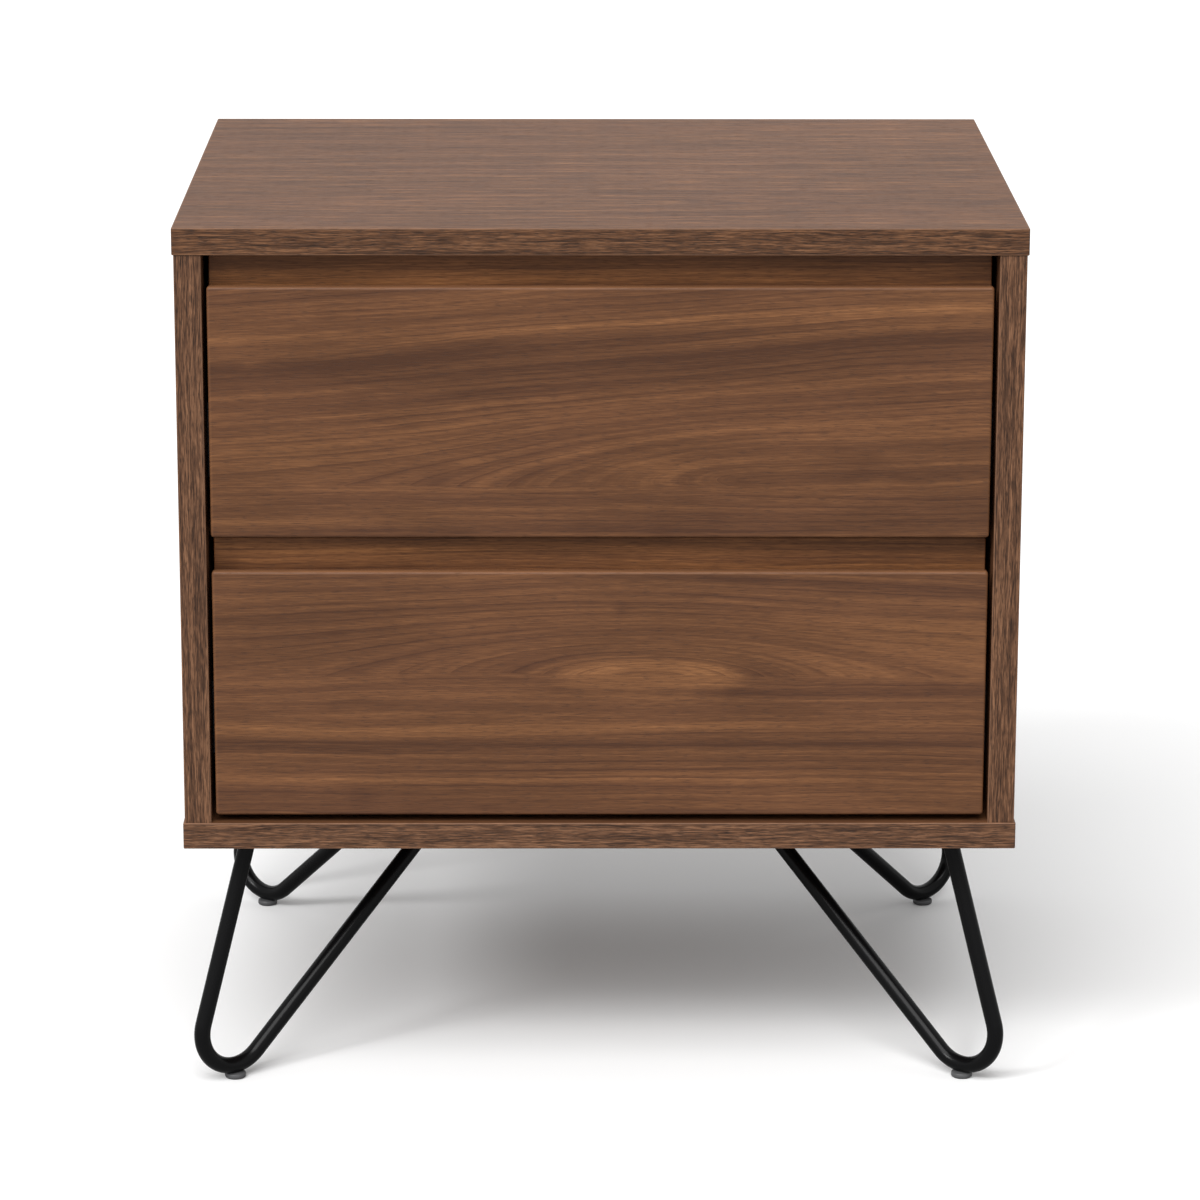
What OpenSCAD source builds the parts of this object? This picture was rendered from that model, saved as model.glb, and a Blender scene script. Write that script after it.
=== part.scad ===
// Two-drawer nightstand on four hairpin legs, in millimetres.
// The origin is on the floor under the middle of the cabinet: +X right, +Y back, +Z up.

/* [Cabinet] */
// Width across the top panel
cab_w = 500; // [400:1:620]
// Depth across the top panel
cab_d = 400; // [330:1:500]
// Height from the floor to the top of the top panel
total_h = 535; // [440:1:660]
// Thickness of the cabinet boards
board_t = 16; // [13:0.1:20]
// Thickness of the edge banding
band_t = 1; // [0.4:0.1:2]
// Step from the edges of the top and bottom panels in to the side panels
panel_step = 1; // [0:0.1:3]
// Thickness of the hardboard back panel
back_t = 3; // [2.5:0.1:5]
// Distance from the rear edge of a side panel to the back panel
back_inset = 10; // [6:0.5:16]
// How far the back panel reaches into its grooves
back_seat = 5; // [3:0.5:7]

/* [Drawers] */
// Gap below the lower drawer front
bottom_gap = 4.5; // [2:0.5:8]
// Height of the finger recess between the two fronts
mid_recess = 20.5; // [19:0.5:30]
// Height of the finger recess under the top panel
top_recess = 19; // [18.5:0.5:30]
// Gap between a drawer front and the side panel beside it
front_gap = 2.8; // [1.5:0.1:5]
// Thickness of a drawer front
front_t = 16; // [14:0.1:22]
// Depth of a drawer front's face behind the front of the top panel
front_set_back = 2; // [1:0.1:6]
// Rounding of a drawer front's visible edges
front_round = 1.6; // [0.5:0.1:3]
// Width of the finger groove behind a drawer front's top lip
groove_w = 9; // [6:0.5:12]
// Depth of the finger groove
groove_depth = 15; // [8:0.5:20]
// Height of the inner front above the top of its drawer front
strip_rise = 17; // [12:0.5:18]
// Gap between an inner front and the side panel beside it
strip_gap = 3.3; // [2:0.1:6]
// Thickness of the drawer box boards
box_t = 12; // [10:0.1:16]
// Height of the drawer box above the lower edge of its front
box_lift = 8; // [4:0.5:15]
// Drop from the top of a drawer front to the top of its box sides
box_drop = 28; // [20:0.5:45]
// Gap between the back of a drawer box and the back panel
box_rear_gap = 6; // [3:0.5:20]
// Thickness of a drawer bottom
bottom_t = 3; // [2.5:0.1:5]
// Height of a drawer bottom above the lower edge of its box
bottom_lift = 10; // [6:0.5:15]
// How far a drawer bottom reaches into its grooves
bottom_seat = 5; // [3:0.5:7]

/* [Runners] */
// Height of a ball-bearing runner
runner_h = 45; // [37:0.5:55]
// Space that a runner takes between side panel and drawer side
runner_w = 12.7; // [12.5:0.1:16]
// Thickness of the runner steel
runner_steel = 1.2; // [1:0.1:1.4]
// Height of the runner's middle line above the lower edge of the box
runner_lift = 45; // [30:0.5:50]
// Gap between the runner's front end and the inner front
runner_front_gap = 1; // [0.5:0.5:5]
// Gap between the runner's rear end and the back panel
runner_rear_gap = 5; // [3:0.5:20]
// Diameter of the balls between outer and middle member
outer_ball_d = 3.6; // [3:0.1:4.4]
// Diameter of the balls between middle and inner member
inner_ball_d = 4.6; // [3:0.1:5]
// Number of balls in one row of a cage
balls_per_row = 6; // [4:1:8]
// Distance from ball to ball
ball_pitch = 24; // [10:1:26]

/* [Legs] */
// Height of the bottom panel's underside above the floor
leg_h = 157; // [125:1:200]
// Diameter of the leg rod
rod_d = 10; // [8:0.1:12.5]
// Radius of the foot bend to the middle of the rod
bend_r = 24; // [18:0.5:32]
// Lean of the outer run of the rod from upright
outer_lean = 17.6; // [8:0.1:22]
// Lean of the inner run of the rod from upright
inner_lean = 48.7; // [38:0.1:52]
// Distance from the end of the cabinet in to the foot
foot_inset_x = 26.5; // [24:0.5:60]
// Distance from the front or back of the cabinet in to the foot
foot_inset_y = 31.5; // [28:0.5:60]
// Thickness of the leg plate
plate_t = 4; // [2.5:0.1:6]
// Width of the leg plate
plate_w = 30; // [26:0.5:40]
// Length of plate past the rod at each end
plate_end = 12; // [8:0.5:20]
// Diameter of the plastic glide
glide_d = 13; // [10:0.1:16]
// Thickness of the glide under the rod
glide_base = 3; // [2:0.1:8]
// Height that the glide's saddle rises beside the rod
glide_rise = 1.5; // [0:0.1:3]
// Diameter of the glide's stem in the rod
stem_d = 4; // [3:0.1:5]
// Length of the glide's stem in the rod
stem_l = 5; // [3:0.1:6]

/* [Fittings] */
// Diameter of a cam lock
cam_d = 15; // [12:0.5:15]
// Thickness of a cam lock
cam_t = 12.5; // [9:0.1:12.5]
// Distance from the end of a side panel to the middle of a cam lock
cam_reach = 24; // [20:0.5:24]
// Distance from the front or back of a side panel to the nearer cam lock
cam_inset = 59; // [40:1:90]
// Spacing of the dowel from the cam bolt beside it
dowel_pitch = 32; // [20:1:50]
// Diameter of a cabinet dowel
dowel_d = 8; // [6:0.5:8]
// Length of a cabinet dowel
dowel_l = 30; // [25:1:35]
// Diameter of a drawer dowel
box_dowel_d = 6; // [5:0.5:6]
// Length of a drawer dowel
box_dowel_l = 24; // [20:1:28]
// Diameter of every screw's shank
screw_d = 4; // [3.5:0.1:4.5]
// Diameter of every screw's head
screw_head_d = 7; // [6:0.1:8]
// Thickness of a pan head
pan_head_t = 1.8; // [1.5:0.1:2.5]

/* [Hidden] */
$fn = 48;
EPS = 0.01;

// Clearance on the diameter of a bore round what it takes, and past the end of it
bore_fit = 0.1;
end_fit = 1;
groove_fit = 0.5;
hole_fit = 0.5;
ball_fit = 0.3;
cage_fit = 0.1;
saddle_fit = 0.2;

WALNUT = [0.44, 0.31, 0.23];
BAND = [0.47, 0.36, 0.28];
BLACK = [0.1, 0.1, 0.1];
STEEL = [0.76, 0.77, 0.79];
BLACK_ZINC = [0.2, 0.2, 0.21];
HARDBOARD = [0.5, 0.37, 0.25];
BOX_FOIL = [0.55, 0.45, 0.36];
BEECH = [0.83, 0.68, 0.47];
GREY = [0.42, 0.42, 0.43];

// Cam bolt
bolt_thread_d = 5;
bolt_thread_l = 10;
bolt_shaft_d = 6;
bolt_neck_d = 4;
bolt_neck_l = 3;
bolt_head_d = 6.5;
bolt_head_l = 4;
bolt_hole_d = 8;

// Cabinet levels and faces
bottom_top = leg_h + board_t;
top_under = total_h - board_t;
side_outer = cab_w / 2 - panel_step;
side_inner = side_outer - board_t;
side_mid = side_outer - board_t / 2;
side_d = cab_d - 2 * panel_step;
back_y = side_d / 2 - back_inset - back_t;
cam_y = side_d / 2 - cam_inset;
dowel_y = cam_y - dowel_pitch;
LEFT = -1;
RIGHT = 1;

// Drawer levels and faces
front_y = -cab_d / 2 + front_set_back;
front_w = 2 * (side_inner - front_gap);
recesses = bottom_gap + mid_recess + top_recess;
front_h = (top_under - bottom_top - recesses) / 2;
LOWER_Z = bottom_top + bottom_gap;
UPPER_Z = LOWER_Z + front_h + mid_recess;
strip_y = front_y + front_t;
strip_w = 2 * (side_inner - strip_gap);
box_y = strip_y + box_t;
box_l = back_y - box_rear_gap - box_y;
box_h = front_h - box_lift - box_drop;
box_outer = side_inner - runner_w;
box_inner = box_outer - box_t;
box_dowel_short = box_dowel_l / 3;
box_dowel_long = box_dowel_l - box_dowel_short;
box_dowel_low = 30;
box_dowel_drop = 20;
box_dowel_high = box_h - box_dowel_drop;
front_screw_l = 25;
front_screw_spread = 250;
front_screw_x = front_screw_spread / 2;
front_screw_low = 35;
front_screw_drop = 15;
front_screw_high = box_h - front_screw_drop;

// Runner section, measured from the face of the side panel towards the drawer
runner_y = box_y + runner_front_gap;
runner_l = back_y - runner_rear_gap - runner_y;
flange_gap = 2.5;
flange_end = runner_w - flange_gap;
cage_steel = 0.6;
cage_rim = 0.4;
outer_cage_gap = 0.4;
outer_cage_u = runner_steel + outer_cage_gap;
middle_u = outer_cage_u + cage_steel + ball_fit;
inner_cage_gap = 0.5;
inner_cage_u = middle_u + runner_steel + inner_cage_gap;
inner_flange_u = inner_cage_u + 2 * cage_steel;
inner_web_u = runner_w - runner_steel;
outer_inside = runner_h / 2 - runner_steel;
middle_half = outer_inside - ball_fit - outer_ball_d;
middle_inside = middle_half - runner_steel;
inner_half = middle_inside - inner_ball_d - ball_fit;
outer_ball_z = middle_half + outer_ball_d / 2;
inner_ball_z = middle_inside - inner_ball_d / 2;
outer_ball_inset = 3.4;
outer_ball_u = flange_end - outer_ball_inset;
inner_ball_shift = 0.5;
inner_ball_u = (inner_flange_u + inner_web_u) / 2 - inner_ball_shift;
cage_margin = 8;
cage_l = (balls_per_row - 1) * ball_pitch + 2 * cage_margin;
runner_screw_inset = 35;
runner_screw_y = [
    runner_y + runner_screw_inset,
    runner_y + runner_l / 2,
    runner_y + runner_l - runner_screw_inset
];
drawer_screw_shift = 20;
access_d = 9;
cabinet_screw_l = 13;
drawer_screw_l = 10;

// Leg geometry: r runs from the foot towards the middle of the cabinet
foot_x = cab_w / 2 - foot_inset_x;
foot_y = cab_d / 2 - foot_inset_y;
bend_z = glide_base + rod_d / 2 + bend_r;
bend_sweep = 180 + outer_lean - inner_lean;
// The rod is a hair thicker in the bend, and its straight runs start just inside it
bend_swell = 0.04;
bend_tuck = 0.5;
rod_top = leg_h - plate_t;
outer_start_z = bend_z + bend_r * sin(outer_lean);
inner_start_z = bend_z - bend_r * sin(inner_lean);
outer_top_r = (rod_top - outer_start_z) * tan(outer_lean) - bend_r * cos(outer_lean);
inner_top_r = (rod_top - inner_start_z) * tan(inner_lean) + bend_r * cos(inner_lean);
plate_start = outer_top_r - rod_d / 2 - plate_end;
plate_stop = inner_top_r + rod_d / 2 / cos(inner_lean) + plate_end;
leg_screw_inset = 15;
leg_screw_r = [
    outer_top_r + rod_d / 2 + leg_screw_inset,
    inner_top_r - rod_d / 2 / cos(inner_lean) - leg_screw_inset
];
leg_screw_spread = 18;
leg_screw_side = leg_screw_spread / 2;
leg_screw_l = 15;

// ---------------------------------------------------------------- shared shapes

// A block given by its lowest and highest corners
module block(low, high) {
    translate(low)
        cube(high - low);
}

// The same children on the left and the right of the cabinet
module both_sides() {
    children();
    mirror([1, 0, 0])
        children();
}

// A countersunk screw along +X with its head flush at the origin
module countersunk_screw(length, head_t) {
    rotate([0, 90, 0]) {
        cylinder(d1 = screw_head_d, d2 = screw_d, h = head_t);
        cylinder(d = screw_d, h = length - screw_d);
        translate([0, 0, length - screw_d])
            cylinder(d1 = screw_d, d2 = screw_d / 4, h = screw_d);
    }
}

// The cone that a countersunk head fills, a little wider than the head
module countersink(head_t) {
    rotate([0, 90, 0])
        cylinder(d1 = screw_head_d + bore_fit, d2 = screw_d + bore_fit, h = head_t);
}

// A pan-head screw along +X with the underside of its head at the origin
module pan_screw(length) {
    rotate([0, 90, 0]) {
        translate([0, 0, -pan_head_t])
            cylinder(d1 = screw_head_d * 0.8, d2 = screw_head_d, h = pan_head_t);
        cylinder(d = screw_d, h = length - screw_d);
        translate([0, 0, length - screw_d])
            cylinder(d1 = screw_d, d2 = screw_d / 4, h = screw_d);
    }
}

// A bore along +X from the origin
module bore(diameter, depth) {
    translate([-EPS, 0, 0])
        rotate([0, 90, 0])
            cylinder(d = diameter, h = depth + EPS);
}

// ---------------------------------------------------------------- cabinet panels

// Places of the cam bolts and dowels in the right half, seen along the joint
module at_cams() {
    for (y = [-cam_y, cam_y])
        translate([side_mid, y, 0])
            children();
}

module at_dowels() {
    for (y = [-dowel_y, dowel_y])
        translate([side_mid, y, 0])
            children();
}

// The core of the top or bottom panel, its joint face at z = 0 and its body above
module horizontal_board() {
    core_w = cab_w / 2 - band_t;
    core_d = cab_d / 2 - band_t;
    groove_x = side_inner + back_seat + groove_fit;
    difference() {
        block([-core_w, -core_d, 0], [core_w, core_d, board_t]);
        block([-groove_x, back_y, -EPS], [groove_x, back_y + back_t, back_seat + groove_fit]);
        both_sides() {
            at_cams()
                rotate([0, -90, 0])
                    bore(bolt_thread_d + bore_fit, bolt_thread_l + end_fit);
            at_dowels()
                rotate([0, -90, 0])
                    bore(dowel_d + bore_fit, dowel_l / 3 + end_fit);
        }
    }
}

// Four strips round the edge of a horizontal panel whose underside is at z = 0
module banding_ring() {
    w = cab_w / 2;
    d = cab_d / 2;
    for (s = [-1, 1]) {
        translate([-w, s * (d - band_t / 2) - band_t / 2, 0])
            cube([cab_w, band_t, board_t]);
        translate([s * (w - band_t / 2) - band_t / 2, -d + band_t, 0])
            cube([band_t, cab_d - 2 * band_t, board_t]);
    }
}

// The core of the right side panel with its joint bores, runner pilots and back groove
module side_board() {
    core_d = side_d / 2 - band_t;
    difference() {
        block([side_inner, -core_d, bottom_top], [side_outer, core_d, top_under]);
        block(
            [side_inner - EPS, back_y, bottom_top - EPS],
            [side_inner + back_seat + groove_fit, back_y + back_t, top_under + EPS]);
        end_bores(top_under, 90);
        end_bores(bottom_top, -90);
        for (z = [UPPER_Z, LOWER_Z])
            at_cabinet_screws(z)
                bore(screw_d + bore_fit, cabinet_screw_l + end_fit);
    }
}

// Bores at one end of the right side panel; turn is 90 at the top and -90 at the bottom
module end_bores(z, turn) {
    into = turn > 0 ? -1 : 1;
    translate([0, 0, z]) {
        at_cams() {
            rotate([0, turn, 0])
                bore(bolt_hole_d, cam_reach);
            translate([side_inner - side_mid, 0, into * cam_reach])
                bore(cam_d + bore_fit, cam_t + groove_fit);
        }
        at_dowels()
            rotate([0, turn, 0])
                bore(dowel_d + bore_fit, dowel_l * 2 / 3 + end_fit);
    }
}

module side_banding() {
    for (s = [-1, 1]) {
        mid = s * (side_d / 2 - band_t / 2);
        block(
            [side_inner, mid - band_t / 2, bottom_top],
            [side_outer, mid + band_t / 2, top_under]);
    }
}

// ---------------------------------------------------------------- cabinet fittings

// A cam bolt standing on the joint face and pointing into the side panel along +Z
module cam_bolt() {
    shaft_l = cam_reach - bolt_neck_l;
    translate([0, 0, -bolt_thread_l])
        cylinder(d = bolt_thread_d, h = bolt_thread_l);
    cylinder(d = bolt_shaft_d, h = shaft_l);
    translate([0, 0, shaft_l])
        cylinder(d = bolt_neck_d, h = bolt_neck_l);
    translate([0, 0, cam_reach])
        cylinder(d = bolt_head_d, h = bolt_head_l);
}

// A cam lock along +X, its slotted face at the origin; the bolt enters along +Z
module cam_lock() {
    slot_w = 1.6;
    slot_depth = 3;
    slot_margin = 2;
    arm = cam_d / 2 - slot_margin;
    bolt_u = side_mid - side_inner;
    difference() {
        rotate([0, 90, 0])
            cylinder(d = cam_d, h = cam_t);
        for (turn = [0, 90])
            rotate([turn, 0, 0])
                block([-EPS, -arm, -slot_w / 2], [slot_depth, arm, slot_w / 2]);
        translate([bolt_u, 0, bolt_head_l + end_fit - cam_d])
            cylinder(d = bolt_hole_d, h = cam_d);
    }
}

// The same children at the top joints and, turned over, at the bottom joints
module at_joints() {
    translate([0, 0, top_under])
        mirror([0, 0, 1])
            children();
    translate([0, 0, bottom_top])
        children();
}

// ---------------------------------------------------------------- runners

// One side's runner: origin on the side panel's face, X from the panel towards the drawer
module runner_frame(side, drawer_z) {
    translate([side * side_inner, 0, drawer_z + box_lift + runner_lift])
        mirror([side > 0 ? 1 : 0, 0, 0])
            children();
}

// Screw places on the right side panel's face, X pointing into the panel
module at_cabinet_screws(drawer_z) {
    for (y = runner_screw_y)
        translate([side_inner, y, drawer_z + box_lift + runner_lift])
            children();
}

// A channel section from u = web to u = stop, with walls of runner_steel
module channel(web, stop, half, wall_start) {
    block([web, runner_y, -half], [web + runner_steel, runner_y + runner_l, half]);
    for (s = [-1, 1]) {
        mid = s * (half - runner_steel / 2);
        block(
            [wall_start, runner_y, mid - runner_steel / 2],
            [stop, runner_y + runner_l, mid + runner_steel / 2]);
    }
}

module runner_outer(side, drawer_z) {
    lip_share = 0.75;
    lip = outer_ball_d * lip_share;
    runner_frame(side, drawer_z)
        difference() {
            union() {
                channel(0, flange_end, runner_h / 2, 0);
                for (s = [-1, 1])
                    translate([0, 0, s * (outer_inside - lip / 2)])
                        block(
                            [flange_end - runner_steel, runner_y, -lip / 2],
                            [flange_end, runner_y + runner_l, lip / 2]);
            }
            for (y = runner_screw_y)
                translate([runner_steel, y, 0])
                    rotate([0, 0, 180])
                        countersink(runner_steel + EPS);
        }
}

module runner_middle(side, drawer_z) {
    runner_frame(side, drawer_z)
        difference() {
            channel(middle_u, flange_end, middle_half, middle_u);
            for (y = runner_screw_y)
                translate([middle_u, y, 0])
                    bore(access_d, runner_steel + EPS);
        }
}

module runner_inner(side, drawer_z) {
    runner_frame(side, drawer_z)
        difference() {
            channel(inner_web_u, runner_w, inner_half, inner_flange_u);
            for (y = runner_screw_y)
                translate([inner_web_u, y + drawer_screw_shift, 0])
                    countersink(runner_steel + EPS);
        }
}

// A folded cage strip with its two rows of balls, from y = start
module ball_cage(web, ball_u, ball_z, ball_d, start, strip_to) {
    half = ball_z + cage_steel / 2;
    rows = [for (i = [0:balls_per_row - 1]) start + cage_margin + i * ball_pitch];
    difference() {
        union() {
            block([web, start, -half], [web + cage_steel, start + cage_l, half]);
            for (s = [-1, 1])
                translate([0, 0, s * ball_z - cage_steel / 2])
                    block([web, start, 0], [strip_to, start + cage_l, cage_steel]);
        }
        for (y = rows)
            translate([ball_u, y, -half - 1])
                cylinder(d = ball_d + cage_fit, h = 2 * half + 2);
    }
    for (y = rows, s = [-1, 1])
        translate([ball_u, y, s * ball_z])
            sphere(d = ball_d);
}

// Both cages of both runners: the outer ones in the rear half, the inner ones in the front half
module runner_cages(drawer_z) {
    for (side = [LEFT, RIGHT])
        runner_frame(side, drawer_z) {
            ball_cage(
                outer_cage_u, outer_ball_u, outer_ball_z, outer_ball_d,
                runner_y + runner_l - cage_l, outer_ball_u + outer_ball_d / 2 + cage_rim);
            ball_cage(
                inner_cage_u, inner_ball_u, inner_ball_z, inner_ball_d,
                runner_y, inner_ball_u + inner_ball_d / 2 + cage_rim);
        }
}

// ---------------------------------------------------------------- legs

// One corner: origin on the floor under the foot, X towards the middle of the cabinet
module leg_corner(side, end) {
    translate([side * foot_x, end * foot_y, 0])
        rotate([0, 0, atan2(-end * cab_d, -side * cab_w)])
            children();
}

// The upright plane of a leg: origin in the middle of the bend, X to where the bend starts
module bend_frame() {
    translate([0, 0, bend_z])
        rotate([90, 0, 0])
            rotate([0, 0, 180 - outer_lean])
                children();
}

// The foot bend, as part of a ring in the bend's frame
module foot_bend(diameter) {
    rotate_extrude(angle = bend_sweep)
        translate([bend_r, 0])
            circle(d = diameter);
}

module leg_rod(side, end) {
    leg_corner(side, end)
        difference() {
            bend_frame() {
                foot_bend(rod_d + bend_swell);
                translate([bend_r, bend_tuck, 0])
                    rotate([90, 0, 0])
                        cylinder(d = rod_d, h = leg_h / cos(outer_lean));
                rotate([0, 0, bend_sweep])
                    translate([bend_r, -bend_tuck, 0])
                        rotate([-90, 0, 0])
                            cylinder(d = rod_d, h = leg_h / cos(inner_lean));
            }
            block([-cab_w, -cab_w, rod_top], [cab_w, cab_w, rod_top + leg_h]);
            cylinder(d = stem_d + bore_fit, h = glide_base + stem_l + groove_fit);
        }
}

// Places of the four screws of one leg plate, on the underside of the plate
module at_leg_screws() {
    for (r = leg_screw_r, s = [-1, 1])
        translate([r, s * leg_screw_side, rod_top])
            children();
}

module leg_plate(side, end) {
    corner = plate_w / 5;
    leg_corner(side, end)
        difference() {
            translate([0, 0, rod_top])
                linear_extrude(plate_t)
                    rounded_outline(
                        [plate_start, -plate_w / 2], [plate_stop, plate_w / 2], corner);
            at_leg_screws()
                translate([0, 0, -1])
                    cylinder(d = screw_d + hole_fit, h = plate_t + 2);
        }
}

// A rectangle from low to high with round corners
module rounded_outline(low, high, radius) {
    size = high - low;
    translate(low) {
        translate([radius, 0])
            square([size[0] - 2 * radius, size[1]]);
        translate([0, radius])
            square([size[0], size[1] - 2 * radius]);
        for (x = [radius, size[0] - radius], y = [radius, size[1] - radius])
            translate([x, y])
                circle(radius);
    }
}

module leg_glide(side, end) {
    foot = 0.8;
    leg_corner(side, end) {
        difference() {
            union() {
                cylinder(d1 = glide_d - 2 * foot, d2 = glide_d, h = foot);
                translate([0, 0, foot])
                    cylinder(d = glide_d, h = glide_base + glide_rise - foot);
            }
            bend_frame()
                foot_bend(rod_d + saddle_fit);
        }
        cylinder(d = stem_d, h = glide_base + stem_l);
    }
}

// ---------------------------------------------------------------- drawers

// A drawer front with rounded visible edges and a finger groove behind its top lip
module drawer_front_board(z) {
    w = front_w / 2;
    r = front_round;
    difference() {
        intersection() {
            translate([0, 0, z])
                linear_extrude(front_h)
                    front_section(-w, w, r);
            translate([-w, 0, 0])
                rotate([90, 0, 90])
                    linear_extrude(front_w)
                        front_section_up(z, z + front_h, r);
        }
        block(
            [-w - 1, strip_y - groove_w, z + front_h - groove_depth],
            [w + 1, strip_y + 1, z + front_h + 1]);
        at_front_screws(z)
            rotate([0, 0, -90])
                bore(screw_d + bore_fit, front_screw_l + end_fit);
    }
}

// Outline across the width: X from a to b and Y from the face to the back of the front
module front_section(a, b, r) {
    translate([a, front_y + r])
        square([b - a, front_t - r]);
    translate([a + r, front_y])
        square([b - a - 2 * r, r]);
    for (x = [a + r, b - r])
        translate([x, front_y + r])
            circle(r);
}

// The same outline up the height, laid so that a quarter turn stands it upright
module front_section_up(a, b, r) {
    translate([front_y + r, a])
        square([front_t - r, b - a]);
    translate([front_y, a + r])
        square([r, b - a - 2 * r]);
    for (z = [a + r, b - r])
        translate([front_y + r, z])
            circle(r);
}

// Places of the screws that hold the drawer front, on the inner front's rear face
module at_front_screws(z) {
    for (x = [-front_screw_x, front_screw_x], up = [front_screw_low, front_screw_high])
        translate([x, box_y, z + box_lift + up])
            children();
}

// Places of the dowels in the right half: X points into the inner front or the side
module at_box_front_dowels(z) {
    for (up = [box_dowel_low, box_dowel_high])
        translate([box_outer - box_t / 2, box_y, z + box_lift + up])
            rotate([0, 0, -90])
                children();
}

module at_box_rear_dowels(z) {
    for (up = [box_dowel_low, box_dowel_high])
        translate([box_inner, box_y + box_l - box_t / 2, z + box_lift + up])
            children();
}

module inner_front_board(z) {
    low = z + box_lift;
    bottom_x = box_inner + bottom_seat + groove_fit;
    difference() {
        block([-strip_w / 2, strip_y, low], [strip_w / 2, box_y, z + front_h + strip_rise]);
        block(
            [-bottom_x, box_y - bottom_seat - groove_fit, low + bottom_lift],
            [bottom_x, box_y + EPS, low + bottom_lift + bottom_t]);
        at_front_screws(z)
            rotate([0, 0, -90])
                bore(screw_d + hole_fit, box_t + 1);
        both_sides()
            at_box_front_dowels(z)
                bore(box_dowel_d + bore_fit, box_dowel_short + end_fit);
    }
}

// The right side of a drawer box
module drawer_side_board(z) {
    low = z + box_lift;
    difference() {
        block([box_inner, box_y, low], [box_outer, box_y + box_l, low + box_h]);
        block(
            [box_inner - EPS, box_y - EPS, low + bottom_lift],
            [
                box_inner + bottom_seat + groove_fit,
                box_y + box_l - box_t + bottom_seat + groove_fit,
                low + bottom_lift + bottom_t
            ]);
        at_box_front_dowels(z)
            rotate([0, 0, 180])
                bore(box_dowel_d + bore_fit, box_dowel_long + end_fit);
        at_box_rear_dowels(z)
            bore(box_dowel_d + bore_fit, box_dowel_short + end_fit);
        at_drawer_screws(z)
            rotate([0, 0, 180])
                bore(screw_d + bore_fit, drawer_screw_l + groove_fit);
    }
}

// Places of the runner screws on the right drawer side's outer face
module at_drawer_screws(z) {
    for (y = runner_screw_y)
        translate([box_outer, y + drawer_screw_shift, z + box_lift + runner_lift])
            children();
}

module drawer_back_board(z) {
    low = z + box_lift;
    front = box_y + box_l - box_t;
    difference() {
        block([-box_inner, front, low], [box_inner, box_y + box_l, low + box_h]);
        block(
            [-box_inner - EPS, front - EPS, low + bottom_lift],
            [
                box_inner + EPS,
                front + bottom_seat + groove_fit,
                low + bottom_lift + bottom_t
            ]);
        both_sides()
            at_box_rear_dowels(z)
                rotate([0, 0, 180])
                    bore(box_dowel_d + bore_fit, box_dowel_long + end_fit);
    }
}

module drawer_bottom_board(z) {
    x = box_inner + bottom_seat;
    rear = box_y + box_l - box_t;
    floor_z = z + box_lift + bottom_lift;
    block([-x, box_y - bottom_seat, floor_z], [x, rear + bottom_seat, floor_z + bottom_t]);
}

module drawer_dowel_set(z) {
    both_sides() {
        at_box_front_dowels(z)
            translate([-box_dowel_long, 0, 0])
                rotate([0, 90, 0])
                    cylinder(d = box_dowel_d, h = box_dowel_l);
        at_box_rear_dowels(z)
            translate([-box_dowel_long, 0, 0])
                rotate([0, 90, 0])
                    cylinder(d = box_dowel_d, h = box_dowel_l);
    }
}

// The screws start at the drawer side of the runner's inner web and end in the drawer side
module drawer_runner_screw_set(z) {
    both_sides()
        at_drawer_screws(z)
            translate([runner_steel, 0, 0])
                rotate([0, 0, 180])
                    countersunk_screw(drawer_screw_l + runner_steel, runner_steel);
}

// ---------------------------------------------------------------- sub-parts: cabinet

module top_panel() {
    color(WALNUT)
        translate([0, 0, top_under])
            horizontal_board();
}

module top_panel_edge_banding() {
    color(BAND)
        translate([0, 0, top_under])
            banding_ring();
}

module bottom_panel() {
    color(WALNUT)
        translate([0, 0, bottom_top])
            mirror([0, 0, 1])
                difference() {
                    horizontal_board();
                    for (side = [LEFT, RIGHT], end = [-1, 1])
                        leg_corner(side, end)
                            for (r = leg_screw_r, s = [-1, 1])
                                translate([r, s * leg_screw_side, board_t])
                                    rotate([0, 90, 0])
                                        bore(
                                            screw_d + bore_fit,
                                            leg_screw_l - plate_t + end_fit);
                }
}

module bottom_panel_edge_banding() {
    color(BAND)
        translate([0, 0, leg_h])
            banding_ring();
}

module left_side_panel() {
    color(WALNUT)
        mirror([1, 0, 0])
            side_board();
}

module right_side_panel() {
    color(WALNUT)
        side_board();
}

module left_side_edge_banding() {
    color(BAND)
        mirror([1, 0, 0])
            side_banding();
}

module right_side_edge_banding() {
    color(BAND)
        side_banding();
}

module back_panel() {
    x = side_inner + back_seat;
    color(HARDBOARD)
        block(
            [-x, back_y, bottom_top - back_seat],
            [x, back_y + back_t, top_under + back_seat]);
}

module cam_locks() {
    color(STEEL)
        both_sides()
            at_joints()
                at_cams()
                    translate([side_inner - side_mid, 0, cam_reach])
                        cam_lock();
}

module cam_bolts() {
    color(STEEL)
        both_sides()
            at_joints()
                at_cams()
                    cam_bolt();
}

module carcass_dowels() {
    color(BEECH)
        both_sides()
            at_joints()
                at_dowels()
                    translate([0, 0, -dowel_l / 3])
                        cylinder(d = dowel_d, h = dowel_l);
}

module upper_left_runner_outer() {
    color(BLACK_ZINC)
        runner_outer(LEFT, UPPER_Z);
}

module upper_right_runner_outer() {
    color(BLACK_ZINC)
        runner_outer(RIGHT, UPPER_Z);
}

module lower_left_runner_outer() {
    color(BLACK_ZINC)
        runner_outer(LEFT, LOWER_Z);
}

module lower_right_runner_outer() {
    color(BLACK_ZINC)
        runner_outer(RIGHT, LOWER_Z);
}

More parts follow.
